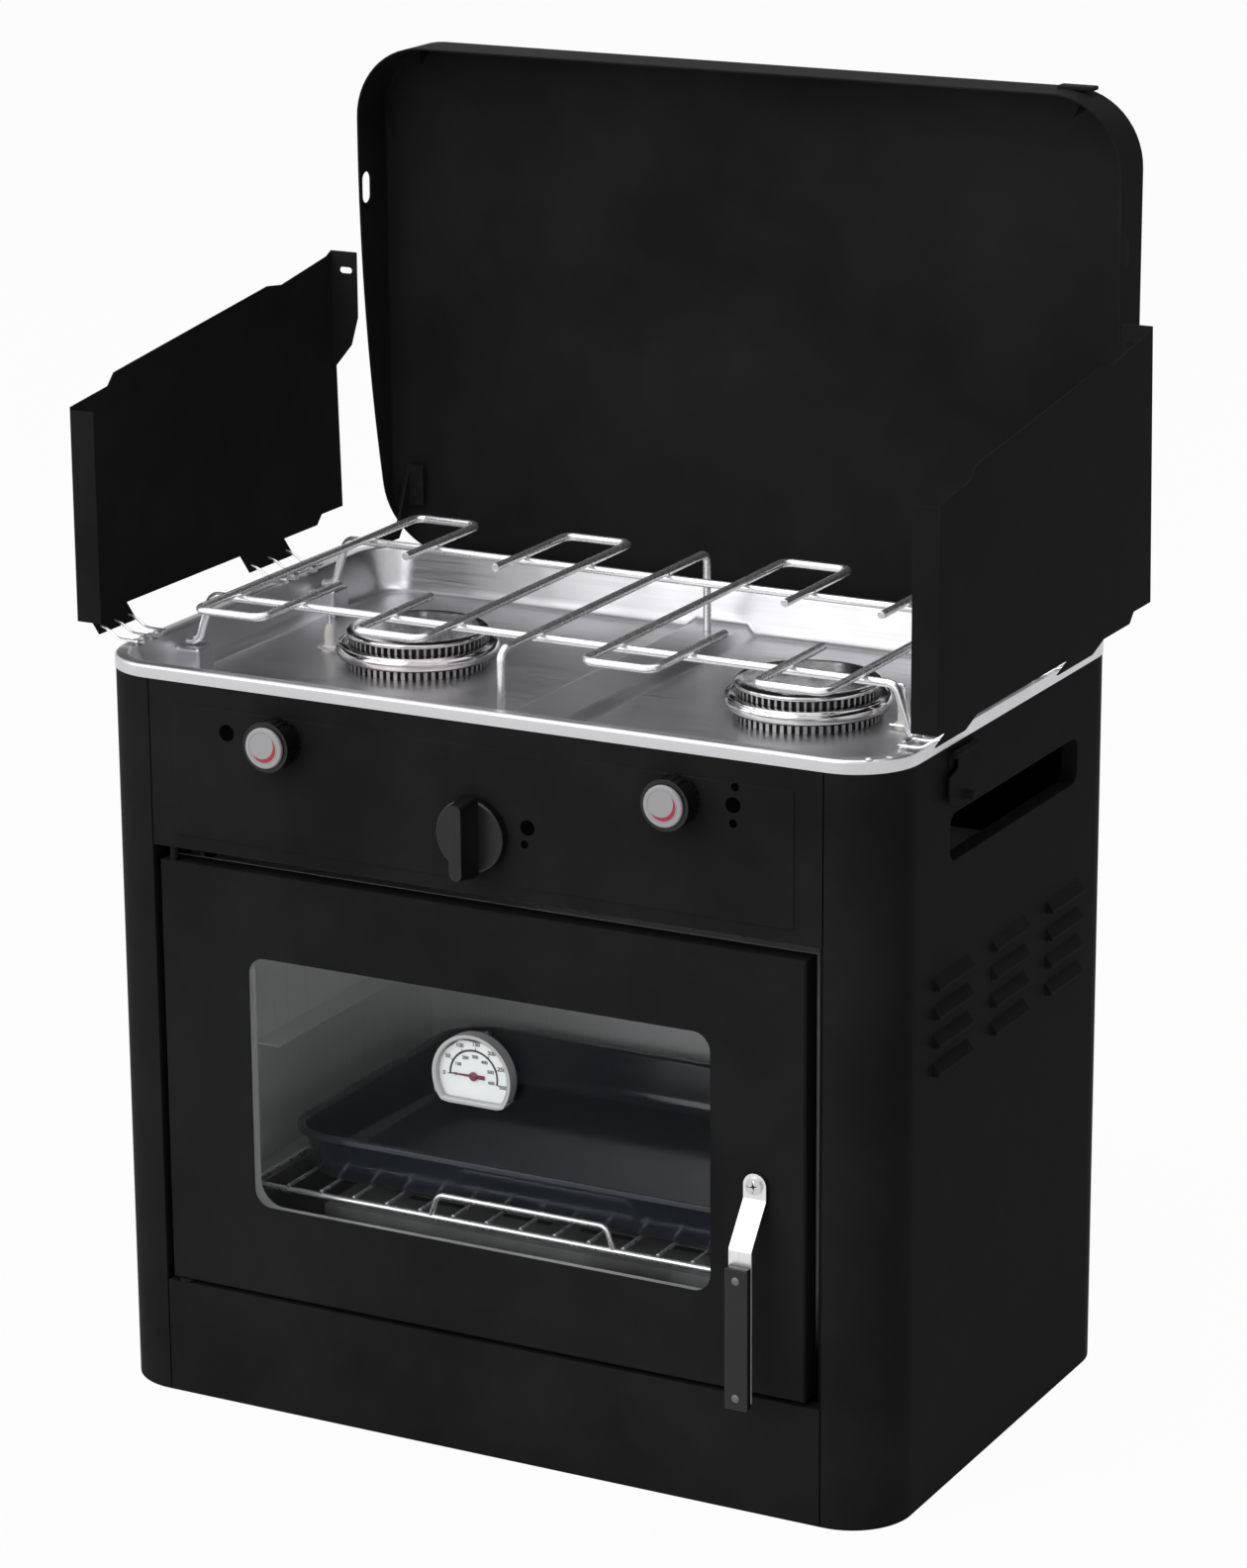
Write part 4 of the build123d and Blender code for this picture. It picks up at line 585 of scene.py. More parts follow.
def bent_wire(name, points, radius, bend=0.0, closed=False, around=6):
    """A round wire along straight runs with rounded bends."""
    piece = line(name, [*points, points[0]] if closed else points)
    edit(piece)
    bpy.ops.mesh.remove_doubles(threshold=SAME_PLACE)
    if bend:
        bend_corners(piece, bend)
    close_edit()
    alone(piece)
    bpy.ops.object.convert(target="CURVE")
    route = bpy.context.object.data
    route.bevel_depth = radius * MM
    route.bevel_resolution = around
    route.use_fill_caps = True
    bpy.ops.object.convert(target="MESH")
    piece = settle(bpy.context.object, name)
    outward(piece)
    if not closed:
        round_edges(piece, WIRE_END, 2, 60)
    smooth(piece, 45)
    return piece


def spun(name, profile, centre, axis="Z", steps=72, shade=35.0):
    """A profile of (radius, rise) pairs in millimetres, spun about an axis through the centre."""
    along = {"Z": Vector((0, 0, 1)), "Y": Vector((0, -1, 0))}[axis]
    points = [centre + Vector((radius * MM, 0, 0)) + along * rise * MM for radius, rise in profile]
    piece = line(name, points)
    edit(piece)
    bpy.ops.mesh.spin(steps=steps, angle=math.tau, center=centre, axis=along)
    close_edit()
    outward(piece)
    smooth(piece, shade)
    return piece


def ring_of(piece, count, centre):
    """Repeats a piece round an upright axis."""
    edit(piece)
    bpy.ops.mesh.spin(steps=count - 1, angle=math.tau * (count - 1) / count, center=centre,
                      axis=(0, 0, 1), dupli=True)
    close_edit()
    outward(piece)
    return piece


def join(name, *parts):
    """Several pieces made one."""
    alone(parts[0])
    for part in parts:
        part.select_set(True)
    bpy.ops.object.join()
    parts[0].name = name
    parts[0].data.name = name
    return parts[0]


def combine(piece, operation, *tools):
    """Takes the tools' shapes out of a piece, or adds them to it, and removes the tools."""
    for tool in tools:
        finish_with(piece, "BOOLEAN", operation=operation, solver="EXACT", object=tool)
        bpy.data.objects.remove(tool)


SHEET_EDGE = 0.3


def softened(node):
    """A copy of a CAD node, its loose triangles joined and its edges rounded."""
    piece = bpy.data.objects.new(node + "_rounded", frame["nodes"][node].data.copy())
    bpy.context.scene.collection.objects.link(piece)
    edit(piece)
    bpy.ops.mesh.remove_doubles(threshold=SHARED_CORNER)
    bpy.ops.mesh.dissolve_limited(angle_limit=math.radians(1.0))
    close_edit()
    round_edges(piece, SHEET_EDGE)
    smooth(piece, 50)
    hand_over(piece, body_of[node], slot_of[node], node)


# Sheet metal and mouldings that keep their CAD shape, with rounded edges

SOFTENED = (
    "left_side_panel", "right_side_panel", "back_panel", "control_panel", "lower_front_panel",
    "door_outer_panel", "left_windshield", "right_windshield", "left_lid_catch",
    "right_lid_catch", "catch_brackets", "lid_hinge_arms", "lid_hinge_ears", "oven_liner",
)
for softened_node in SOFTENED:
    softened(softened_node)

LUG_END = 465.0
LUG_LEAN = 6.5


def bend_lugs(side):
    """Leans the windshield's two lower lugs inwards, to where its wires end."""
    plate = bpy.data.objects[word_for(side) + "_windshield_rounded"]
    edit(plate)
    pick(plate, "verts", lambda v: v.co.z < LUG_END * MM)
    move(x=-side * LUG_LEAN)
    close_edit()
    smooth(plate, 50)


for shield_side in (-1, 1):
    bend_lugs(shield_side)


# The hob tray

TRAY_LENGTH = 521.0
TRAY_DEPTH = 331.0
TRAY_CORNER = 38.5
RIM_WIDTH = 9.0
RIM_DROP = 8.0
WALL_FOLD = ((7.5, 20.0), (2.0, 4.0), (3.0, 2.3), (4.5, 0.7))
BRIDGE_HALF = 18.0
BRIDGE_FOOT = 24.0
BRIDGE_RISE = 5.0
BRIDGE_LEAN = 1.875
LEDGE_TOP = 449.5
LEDGE_INNER = 231.0
LEDGE_OUTER = 248.0
LEDGE_HALF = 9.0
THROAT = 24.3
ROD_Y = (81.0, 239.0)


def pressed_tray():
    """The pressed tray: flat rim, soft walls, a floor with a raised bridge, and four ledges."""
    tray = sheet_blank("hob_tray_pressed", at(0, HALF_DEPTH, RIM_TOP), TRAY_LENGTH, TRAY_DEPTH,
                       TRAY_CORNER, 12)
    step_in((RIM_WIDTH, 0), *WALL_FOLD)
    for x in (-BRIDGE_FOOT, -BRIDGE_HALF, BRIDGE_HALF, BRIDGE_FOOT):
        pick(tray, "faces", lambda f: middle(f).z < (RIM_TOP - 0.1) * MM)
        bpy.ops.mesh.bisect(plane_co=at(x, 0, 0), plane_no=(1, 0, 0))

    def on_bridge(vertex):
        return abs(vertex.co.x) < (BRIDGE_HALF + 0.1) * MM and vertex.co.z < (FLOOR_TOP + 10) * MM

    pick(tray, "verts", on_bridge)
    move(z=BRIDGE_RISE)
    for side in (-1, 1):
        pick(tray, "verts", lambda v: abs(v.co.x) < (BRIDGE_HALF + 0.1) * MM
             and side * v.co.y > 100 * MM and v.co.z < (RIM_TOP - 5) * MM)
        move(y=side * BRIDGE_LEAN)
    draw_rim(tray, z=-RIM_DROP)
    close_edit()
    turn_sheet(tray, (0, 0, 1))
    round_edges(tray, 2.0, 3, 32)
    finish_with(tray, "SOLIDIFY", thickness=MM, offset=-1.0, use_even_offset=True)
    for side in (-1, 1):
        throat = disc("throat", at(side * BURNER_X, BURNER_Y, FLOOR_TOP), THROAT, 8.0)
        combine(tray, "DIFFERENCE", throat)
        for y in ROD_Y:
            inner, outer = sorted((side * LEDGE_INNER, side * LEDGE_OUTER))
            ledge = block("ledge", at(inner, y - LEDGE_HALF, FLOOR_TOP - 0.5),
                          at(outer, y + LEDGE_HALF, LEDGE_TOP))
            round_edges(ledge, 2.0, 3, 60)
            combine(tray, "UNION", ledge)
    smooth(tray, 40)
    hand_over(tray, "cabinet", "tray_steel", "hob_tray")


pressed_tray()


def rim_details():
    """Rivets at the rear left of the rim, and a slot with a pip at its front right corner."""
    heads = []
    for x in (-236.0, -230.0, -224.0):
        heads.append(spun("rivet", ((0, 0), (1.6, 0), (1.5, 0.5), (0.9, 0.9), (0, 1.0)),
                          at(x, 325.5, RIM_TOP), steps=16))
    heads.append(spun("pip", ((0, 0), (2.4, 0), (2.0, 0.8), (1.0, 1.3), (0, 1.4)),
                      at(243.5, 9.0, RIM_TOP), steps=24))
    slot_rim = block("slot_rim", at(250.0, 17.0, RIM_TOP - 0.2), at(254.0, 37.0, RIM_TOP + 0.5))
    round_edges(slot_rim, 0.4, 2, 60)
    heads.append(slot_rim)
    hand_over(join("rim_details", *heads), "cabinet", "tray_steel")


rim_details()


# The burners

TEETH = 60
TUBE_FRONT = 39.2
TUBE_Z = 420.0
TUBE_RADIUS = 8.0


def toothed_ring(name, centre, inner, outer, low, high, width):
    """A ring of upright teeth with ports between them."""
    near = centre + Vector((inner, -width / 2, low)) * MM
    far = centre + Vector((outer, width / 2, high)) * MM
    return ring_of(block(name, near, far), TEETH, centre)


def burner(side):
    """One burner: toothed base with its throat and mixing tube, polished ring, toothed crown and cap."""
    label = word_for(side)
    foot = at(side * BURNER_X, BURNER_Y, FLOOR_TOP)
    body = spun("burner_base",
                ((0, -21.9), (22.5, -21.9), (24, -20.5), (24, 0.1), (40.4, 0.1), (40.4, 5.5), (38, 5.6),
                 (38, 14.5), (38.6, 14.6), (38.6, 19), (0, 19)), foot)
    low_teeth = toothed_ring("low_teeth", foot, 40.0, 44.0, 0.1, 5.4, 2.3)
    high_teeth = toothed_ring("high_teeth", foot, 38.2, 42.4, 14.4, 19.0, 1.5)
    tube = bent_wire("mixing_tube", (at(side * BURNER_X, TUBE_FRONT, TUBE_Z),
                                     at(side * BURNER_X, BURNER_Y, TUBE_Z)), TUBE_RADIUS)
    # The base body and its mixing tube take painted shade: near black in the ports between the teeth and
    # below the tray
    hand_over(join(label + "_burner_base", body, tube), "cabinet", "burner_steel", label + "_burner_body",
              look=painted_recess_shade)
    teeth = join(label + "_burner_teeth", low_teeth, high_teeth)
    hand_over(teeth, "cabinet", "burner_steel", look=cast_burner)
    ring = spun(label + "_burner_polished_ring",
                ((40.8, 5.5), (45.5, 5.5), (48.4, 6.2), (49.6, 7.9), (50, 10), (49.5, 12), (48.6, 13.2),
                 (48.1, 12.6), (47.4, 12.6), (47.1, 13.7), (45.6, 14.5), (43.6, 14.5), (42.8, 13.6),
                 (40.8, 13.4), (40.8, 5.5)),
                foot, steps=96, shade=42)
    hand_over(ring, "cabinet", "burner_steel", label + "_burner_ring", look=polished_steel)
    cap = spun(label + "_burner_pressed_cap",
               ((0, 19.05), (42, 19.05), (43.3, 19.5), (43.5, 20.4), (43.1, 21.5), (41.6, 22.2),
                (37, 22.35), (35.2, 21.9), (0, 22.0)), foot, steps=96, shade=42)
    hand_over(cap, "cabinet", "burner_steel", label + "_burner_cap", look=polished_steel)


for burner_side in (-1, 1):
    burner(burner_side)


POST_X = 193.5
SPARK_X = 182.5
CLIP_X = (187.0, 200.5)
CLIP_Y = (157.5, 168.5)
CLIP_Z = 434.3


def spark_posts():
    """White ceramic posts beside the burners, with their wires and clips."""
    posts, leads = [], []
    for side in (-1, 1):
        posts.append(spun("post", ((0, 0), (5.8, 0), (5.8, 2.6), (4.6, 3.4), (3.9, 4.2), (3.7, 12),
                                   (2.9, 15.5), (2.0, 17), (0, 17)),
                          at(side * POST_X, BURNER_Y, FLOOR_TOP), steps=32, shade=50))
        route = [at(side * x, BURNER_Y, z) for x, z in ((POST_X, 448), (POST_X, 458), (SPARK_X, 456))]
        leads.append(bent_wire("spark_wire", route, 0.9, 3.0, around=4))
        route = [at(side * x, y, CLIP_Z) for x, y in (
            (CLIP_X[0], CLIP_Y[0]), (CLIP_X[1], CLIP_Y[0]), (CLIP_X[1], CLIP_Y[1]), (CLIP_X[0], CLIP_Y[1]))]
        leads.append(bent_wire("post_clip", route, 0.8, 4.0, around=4))
    hand_over(join("spark_posts", *posts), "cabinet", "ceramic", "spark_ceramics")
    hand_over(join("spark_leads", *leads), "cabinet", "plated_wire", "spark_wires")


spark_posts()


# The pan support

SUPPORT_WIRE = 2.5
WIRE_BEND = 7.0
LOOP_X = ((206.0, 161.0), (53.0, 98.0))
LOOP_FRONT = 32.0
LOOP_REAR = 292.0
LOOP_ENDS = (122.0, 200.0)
MIDDLE_FOOT_Z = 437.1


def pan_support():
    """Four loops and a middle wire, welded on two cross rods whose ends stand on the tray's ledges."""
    parts = []
    for side in (-1, 1):
        for run, back in LOOP_X:
            route = [at(side * x, y, WIRE_Z) for x, y in (
                (back, LOOP_ENDS[0]), (back, LOOP_FRONT), (run, LOOP_FRONT),
                (run, LOOP_REAR), (back, LOOP_REAR), (back, LOOP_ENDS[1]))]
            parts.append(bent_wire("loop", route, SUPPORT_WIRE, WIRE_BEND))
    route = [at(0, y, z) for y, z in (
        (LOOP_FRONT, MIDDLE_FOOT_Z), (LOOP_FRONT, WIRE_Z - 0.1),
        (LOOP_REAR, WIRE_Z - 0.1), (LOOP_REAR, MIDDLE_FOOT_Z))]
    parts.append(bent_wire("middle_wire", route, SUPPORT_WIRE, WIRE_BEND))
    for y in ROD_Y:
        route = [at(x, y, z) for x, z in (
            (-244, 452), (-236, 452), (-226, 482), (226, 482), (236, 452), (244, 452))]
        parts.append(bent_wire("cross_rod", route, SUPPORT_WIRE, 5.0))
    hand_over(join("pan_support_wires", *parts), "support", "plated_wire",
              "pan_support", "left_support_loops", "right_support_loops")


pan_support()


# The lid

LID_HALF = 258.7
LID_LOW = 447.0
LID_TOP = 780.0
LID_SHOULDER = 352.0
LID_MOUTH = 316.0
LID_BACK_RISE = 5.0
LID_BORDER = 31.0
LID_SLOPE = 15.0
LID_CUTS = (490, 725, 12)
LID_CORNER = 46.0
LID_HOLE = ((319.7, 678.5), (329.7, 698.5))
LID_HOLE_ROUND = 4.9
SWEEP_TOP = 720.0
SWEEP_RADIUS = 1103.0


def lid_mouth(z):
    """How far behind the front the lid's edge lies at a height: it sweeps back towards the hinge."""
    below = max(0.0, SWEEP_TOP - z)
    return min(LID_MOUTH + SWEEP_RADIUS - math.sqrt(SWEEP_RADIUS ** 2 - below ** 2), LID_SHOULDER - 3.2)


def pressed_lid():
    """The lid's pressed shell: raised back, round shoulder, walls that sweep back, holes and a tab."""
    lid = sheet_blank("lid_pressed_shell", at(0, LID_SHOULDER, (LID_LOW + LID_TOP) / 2),
                      2 * LID_HALF, LID_TOP - LID_LOW, LID_CORNER, 14, -math.pi / 2)
    step_in((LID_BORDER - LID_SLOPE, -0.8), (LID_SLOPE, 0.8 - LID_BACK_RISE))
    draw_rim(lid, y=LID_MOUTH - LID_SHOULDER)
    close_edit()
    turn_sheet(lid, (0, 1, 0))
    edit(lid)
    shoulder = at(0, LID_SHOULDER, 0).y
    pick(lid, "edges", lambda e: all(abs(v.co.y - shoulder) < 1e-5 for v in e.verts))
    bpy.ops.mesh.bevel(offset=3.0 * MM, segments=4, affect="EDGES")
    for z in range(*LID_CUTS):
        pick(lid, "faces", lambda f: abs(f.normal.y) < 0.3)
        bpy.ops.mesh.bisect(plane_co=at(0, 0, z), plane_no=(0, 0, 1))
    shape = bmesh.from_edit_mesh(lid.data)
    for vertex in shape.verts:
        if vertex.co.y < at(0, LID_MOUTH + 0.1, 0).y:
            vertex.co.y = at(0, lid_mouth(vertex.co.z / MM), 0).y
    bmesh.update_edit_mesh(lid.data)
    close_edit()
    round_edges(lid, 5.0, 4, 20)
    finish_with(lid, "SOLIDIFY", thickness=MM, offset=-1.0, use_even_offset=True)
    hole = block("hole", at(-LID_HALF - 5, *LID_HOLE[0]), at(LID_HALF + 5, *LID_HOLE[1]))
    edit(hole)
    pick(hole, "edges", lambda e: abs((e.verts[0].co - e.verts[1].co).x) > 0.1)
    bpy.ops.mesh.bevel(offset=LID_HOLE_ROUND * MM, segments=6, affect="EDGES")
    close_edit()
    combine(lid, "DIFFERENCE", hole)
    tab = block("tab", at(208.5, 335, LID_TOP - 0.6), at(231.5, 345, LID_TOP + 2.0))
    round_edges(tab, 0.9, 3, 60)
    combine(lid, "UNION", tab)
    smooth(lid, 45)
    hand_over(lid, "lid", "black_paint", "lid_shell")


pressed_lid()


# The roasting pan and the rack

PAN_TOP = 160.5
PAN_LENGTH = 344.0
PAN_DEPTH = 224.0
PAN_CORNER = 32.0
PAN_LIP = 4.2
PAN_LIP_DROP = 3.2
PAN_FOLD = ((1.4, 1.2), (4.6, 22.0), (1.6, 5.0), (3.0, 2.7), (5.0, 0.9))


def pressed_pan():
    """The enamelled pan: rolled lip, drafted walls with soft corners, flat floor."""
    pan = sheet_blank("roasting_pan_pressed", at(0, HALF_DEPTH, PAN_TOP), PAN_LENGTH, PAN_DEPTH,
                      PAN_CORNER, 10)
    step_in((PAN_LIP, 0), *PAN_FOLD)
    draw_rim(pan, z=-PAN_LIP_DROP)
    close_edit()
    turn_sheet(pan, (0, 0, 1))
    round_edges(pan, 1.3, 3, 34)
    finish_with(pan, "SOLIDIFY", thickness=1.2 * MM, offset=-1.0, use_even_offset=True)
    smooth(pan, 40)
    hand_over(pan, "pan", "enamel", "roasting_pan")


pressed_pan()

RACK_Z = 124.0
RACK_HALF = 188.0
RACK_FRONT = 48.0
RACK_REAR = 288.0
SLAT_PITCH = 23.0
SLAT_RISE = 2.9
SLAT_OVERHANG = 1.4
PULL_TOP = 138.8


def wire_rack():
    """The oven rack: a frame, a cross bar under the slats, seventeen slats and a pull loop."""
    corners = ((-RACK_HALF, RACK_FRONT), (RACK_HALF, RACK_FRONT),
               (RACK_HALF, RACK_REAR), (-RACK_HALF, RACK_REAR))
    parts = [bent_wire("rack_frame", [at(x, y, RACK_Z) for x, y in corners], 2.0, 8.0, closed=True)]
    route = [at(x, (RACK_FRONT + RACK_REAR) / 2, RACK_Z - 0.1) for x in (-RACK_HALF, RACK_HALF)]
    parts.append(bent_wire("cross_bar", route, 1.8))
    for place in range(-8, 9):
        route = [at(place * SLAT_PITCH, y, RACK_Z + SLAT_RISE)
                 for y in (RACK_FRONT - SLAT_OVERHANG, RACK_REAR + SLAT_OVERHANG)]
        parts.append(bent_wire("slat", route, 1.3, around=3))
    parts.append(bent_wire("pull_loop", [at(x, RACK_FRONT, z) for x, z in (
        (-62, RACK_Z), (-57, PULL_TOP), (57, PULL_TOP), (62, RACK_Z))], 1.7, 4.0))
    hand_over(join("oven_rack_wires", *parts), "rack", "plated_wire", "oven_rack")


wire_rack()


# Knobs and marks on the control panel

HOB_KNOB_X = 130.0
HOB_KNOB_Z = 424.0
KNOB_GAP = 2.2
FLUTES = 26
CRESCENT_Y = -18.72
CRESCENT_RADIUS = 8.4
OVEN_KNOB_Z = 386.0


def hob_knob(side):
    """A fluted knob on its spindle, with a pale cap that carries a red crescent."""
    label = word_for(side)
    x = side * HOB_KNOB_X
    sides = FLUTES * 3
    knob = disc(label + "_hob_fluted_knob", at(x, -(KNOB_GAP + 7), HOB_KNOB_Z), 15.0, 14.0, "Y", sides)
    edit(knob)

    def is_flute(face):
        spot = face.calc_center_median() - at(x, 0, HOB_KNOB_Z)
        place = math.atan2(spot.z, spot.x) / math.tau * sides
        return len(face.verts) == 4 and math.floor(place) % 3 == 0

    pick(knob, "faces", is_flute)
    bpy.ops.mesh.inset(thickness=0.25 * MM, use_individual=True)
    bpy.ops.mesh.inset(thickness=0.0, depth=-0.75 * MM, use_individual=True)
    close_edit()
    round_edges(knob, 0.9, 3, 70)
    smooth(knob, 30)
    spindle = spun("spindle", ((0, -33.9), (3, -33.9), (3, 1.0), (7, 1.4), (7, 2.4), (0, 2.4)),
                   at(x, 0, HOB_KNOB_Z), "Y", 32)
    knob = join(label + "_hob_fluted_knob", knob, spindle)
    hand_over(knob, label + "_knob", "black_plastic", label + "_hob_knob")
    cap = spun(label + "_knob_pale_cap",
               ((0, 16.1), (11.7, 16.1), (12.2, 16.6), (12.2, 18.0), (11.8, 18.6), (11.1, 18.7),
                (9.7, 18.7), (9.5, 18.45), (9.2, 18.45), (9.0, 18.7), (0, 18.7)),
               at(x, 0, HOB_KNOB_Z), "Y", 72, 50)
    hand_over(cap, label + "_knob", "dial_white", label + "_knob_cap", look=cap_white)
    crescent = disc(label + "_knob_crescent", at(x, CRESCENT_Y, HOB_KNOB_Z), CRESCENT_RADIUS, 0.16, "Y", 72)
    bite = disc("bite", at(x - 1.5, CRESCENT_Y, HOB_KNOB_Z + 1.9), CRESCENT_RADIUS, 2.0, "Y", 72)
    combine(crescent, "DIFFERENCE", bite)
    hand_over(crescent, label + "_knob", "red_plastic")


for knob_side in (-1, 1):
    hob_knob(knob_side)


def oven_knob():
    """The oven knob: a round skirt with a long grip whose ends slope."""
    skirt = disc("skirt", at(0, -(KNOB_GAP + 3), OVEN_KNOB_Z), 22.0, 6.0, "Y", 96)
    round_edges(skirt, 1.4, 3, 60)
    grip = block("grip", at(-6.5, -24.2, OVEN_KNOB_Z - 25), at(6.5, -8.0, OVEN_KNOB_Z + 25))
    edit(grip)
    pick(grip, "faces", lambda f: f.normal.y < -0.9)
    bpy.ops.transform.resize(value=(0.62, 1, 0.9), center_override=at(0, -24.2, OVEN_KNOB_Z))
    pick(grip, "edges", lambda e: abs((e.verts[0].co - e.verts[1].co).y) > 10 * MM)
    bpy.ops.mesh.bevel(offset=4.0 * MM, segments=5, affect="EDGES")
    close_edit()
    round_edges(grip, 1.2, 3, 40)
    spindle = spun("spindle", ((0, -33.9), (3, -33.9), (3, 1.0), (9, 1.4), (9, 2.4), (0, 2.4)),
                   at(0, 0, OVEN_KNOB_Z), "Y", 32)
    for part in (skirt, grip):
        smooth(part, 35)
    hand_over(join("oven_knob_moulded", skirt, grip, spindle), "oven_control", "black_plastic", "oven_knob")


oven_knob()


def panel_marks():
    """Plain round marks beside the knobs, printed in a deeper black."""
    marks = []
    for x, z, radius in ((-165.9, 424.3, 5.0), (165.1, 424.9, 4.6), (166.3, 435.6, 2.4),
                         (165.1, 414.3, 2.4), (34.5, 393.8, 4.6), (32.4, 383.8, 2.4)):
        marks.append(spun("mark", ((0, 0.75), (radius, 0.75), (radius, 0.95), (0, 0.95)),
                          at(x, 0, z), "Y", 32))
    hand_over(join("panel_marks", *marks), "cabinet", "black_plastic", look=mark_black)


panel_marks()


# The thermometer

GAUGE_X = -1.0
GAUGE_Z = 239.7
GAUGE_RADIUS = 26.0
GAUGE_FLAT = 17.0
DIAL_MARGIN = 2.8
DIAL_Y = -4.4
PRINT_Y = -4.44
PRINT_DEPTH = 0.08
ARC_RADIUS = 15.6
ARC_STEPS = 40
SCALE_STEPS = 6
OUTER_NUMBERS = 19.7
INNER_NUMBERS = 11.9


def gauge_plate(name, y, radius, flat, corner, thickness):
    """A round plate cut flat below with rounded corners, its face at y and its body behind."""
    plate = disc(name, at(GAUGE_X, y + thickness / 2, GAUGE_Z), radius, thickness, "Y", 96)
    edit(plate)
    bpy.ops.mesh.bisect(plane_co=at(0, 0, GAUGE_Z - flat), plane_no=(0, 0, 1), use_fill=True,
                        clear_inner=True)
    pick(plate, "edges", lambda e: abs((e.verts[0].co - e.verts[1].co).y) > 0.9 * thickness * MM
         and abs(middle(e).z - (GAUGE_Z - flat) * MM) < 1e-5)
    bpy.ops.mesh.bevel(offset=corner * MM, segments=6, affect="EDGES")
    close_edit()
    outward(plate)
    return plate


def gauge_case():
    """The bright case: a deep rim with a rounded lip round a well."""
    case = gauge_plate("thermometer_pressed_case", -8.0, GAUGE_RADIUS, GAUGE_FLAT, 6.0, 8.0)
    edit(case)
    pick(case, "faces", lambda f: f.normal.y < -0.9)
    step_in((1.9, 0), (0.9, 0.9), (0.2, 2.7))
    close_edit()
    round_edges(case, 0.6, 3, 50)
    stem = spun("stem", ((0, -13), (3, -13), (3, 0.2), (0, 0.2)), at(GAUGE_X, 0, GAUGE_Z), "Y", 32)
    smooth(case, 40)
    hand_over(join("thermometer_pressed_case", case, stem), "door", "tray_steel", "thermometer_case",
              look=satin_case)


gauge_case()


def words(name, body, place, size):
    """Flat numbers that face the front, about their middle."""
    alone()
    bpy.ops.object.text_add(location=place, rotation=(math.pi / 2, 0, 0))
    text = bpy.context.object
    text.data.body = body
    text.data.size = size * MM
    text.data.align_x = "CENTER"
    text.data.align_y = "CENTER"
    text.data.extrude = PRINT_DEPTH * MM / 2
    text.data.offset = 0.1 * MM
    text.data.resolution_u = 3
    bpy.ops.object.convert(target="MESH")
    return settle(bpy.context.object, name)


def gauge_dial():
    """The white dial with its printed arc, ticks and plain numbers."""
    dial = gauge_plate("thermometer_dial_plate", DIAL_Y, GAUGE_RADIUS - DIAL_MARGIN,
                       GAUGE_FLAT - DIAL_MARGIN, 4.6, 0.4)
    hand_over(dial, "door", "dial_white", "thermometer_dial")
    prints = []
    first, last = math.radians(182), math.radians(-12)
    arc = [at(GAUGE_X + ARC_RADIUS * math.cos(a), PRINT_Y, GAUGE_Z + ARC_RADIUS * math.sin(a))
           for a in [first + (last - first) * step / ARC_STEPS for step in range(ARC_STEPS + 1)]]
    band = line("arc", arc)
    edit(band)
    draw_out(y=PRINT_DEPTH)
    close_edit()
    finish_with(band, "SOLIDIFY", thickness=1.3 * MM, offset=0.0)
    outward(band)
    prints.append(band)
    centre = at(GAUGE_X, PRINT_Y, GAUGE_Z)
    for step in range(SCALE_STEPS + 1):
        angle = first + (last - first) * step / SCALE_STEPS
        spoke = Vector((math.cos(angle), 0, math.sin(angle)))
        tick = block("tick", at(GAUGE_X + 15.2, PRINT_Y, GAUGE_Z - 0.3),
                     at(GAUGE_X + 17.4, PRINT_Y + PRINT_DEPTH, GAUGE_Z + 0.3))
        edit(tick)
        bpy.ops.transform.rotate(value=angle, orient_axis="Y", center_override=centre)
        close_edit()
        prints.append(tick)
        prints.append(words("outer_number", str(50 * step), centre + spoke * OUTER_NUMBERS * MM, 3.5))
        prints.append(words("inner_number", str(100 * step), centre + spoke * INNER_NUMBERS * MM, 2.9))
    hand_over(join("thermometer_print", *prints), "door", "dial_white", look=dark_print)


gauge_dial()


def gauge_needle():
    """The red needle: a long tapered tip, a blunt tail and a hub."""
    centre = at(GAUGE_X, -4.9, GAUGE_Z)
    needle = block("thermometer_red_needle", centre + Vector((-15.2, -0.2, -0.35)) * MM,
                   centre + Vector((7.4, 0.2, 0.35)) * MM)
    edit(needle)
    bpy.ops.mesh.bisect(plane_co=centre, plane_no=(1, 0, 0))
    bpy.ops.mesh.select_all(action="SELECT")
    bpy.ops.mesh.bisect(plane_co=centre + Vector((2.2 * MM, 0, 0)), plane_no=(1, 0, 0))
    pick(needle, "verts", lambda v: v.co.x > centre.x + 2 * MM)
    bpy.ops.transform.resize(value=(1, 1, 3.6), center_override=centre)
    pick(needle, "verts", lambda v: abs(v.co.x - centre.x) < 0.1 * MM)
    bpy.ops.transform.resize(value=(1, 1, 2.2), center_override=centre)
    close_edit()
    outward(needle)
    hub = spun("hub", ((0, -0.5), (1.6, -0.5), (2.7, 0.1), (2.7, 0.6), (1.9, 1.2), (0, 1.4)),
               centre, "Y", 32)
    hand_over(join("thermometer_red_needle", needle, hub), "needle", "red_plastic", "thermometer_needle",
              look=needle_red)


gauge_needle()


# The door latch

LATCH_X = 180.0
LATCH_HALF = 7.25
LATCH_ROUTE = ((-2.0, 210.25), (-2.0, 194.0), (-20.5, 170.0), (-20.5, 78.0))
SCREW_Z = 203.0
SLIT_TURN = 0.35
GRIP_FRONT = -27.5
GRIP_REAR = -22.0
GRIP_LOW = 75.0
GRIP_HIGH = 161.0


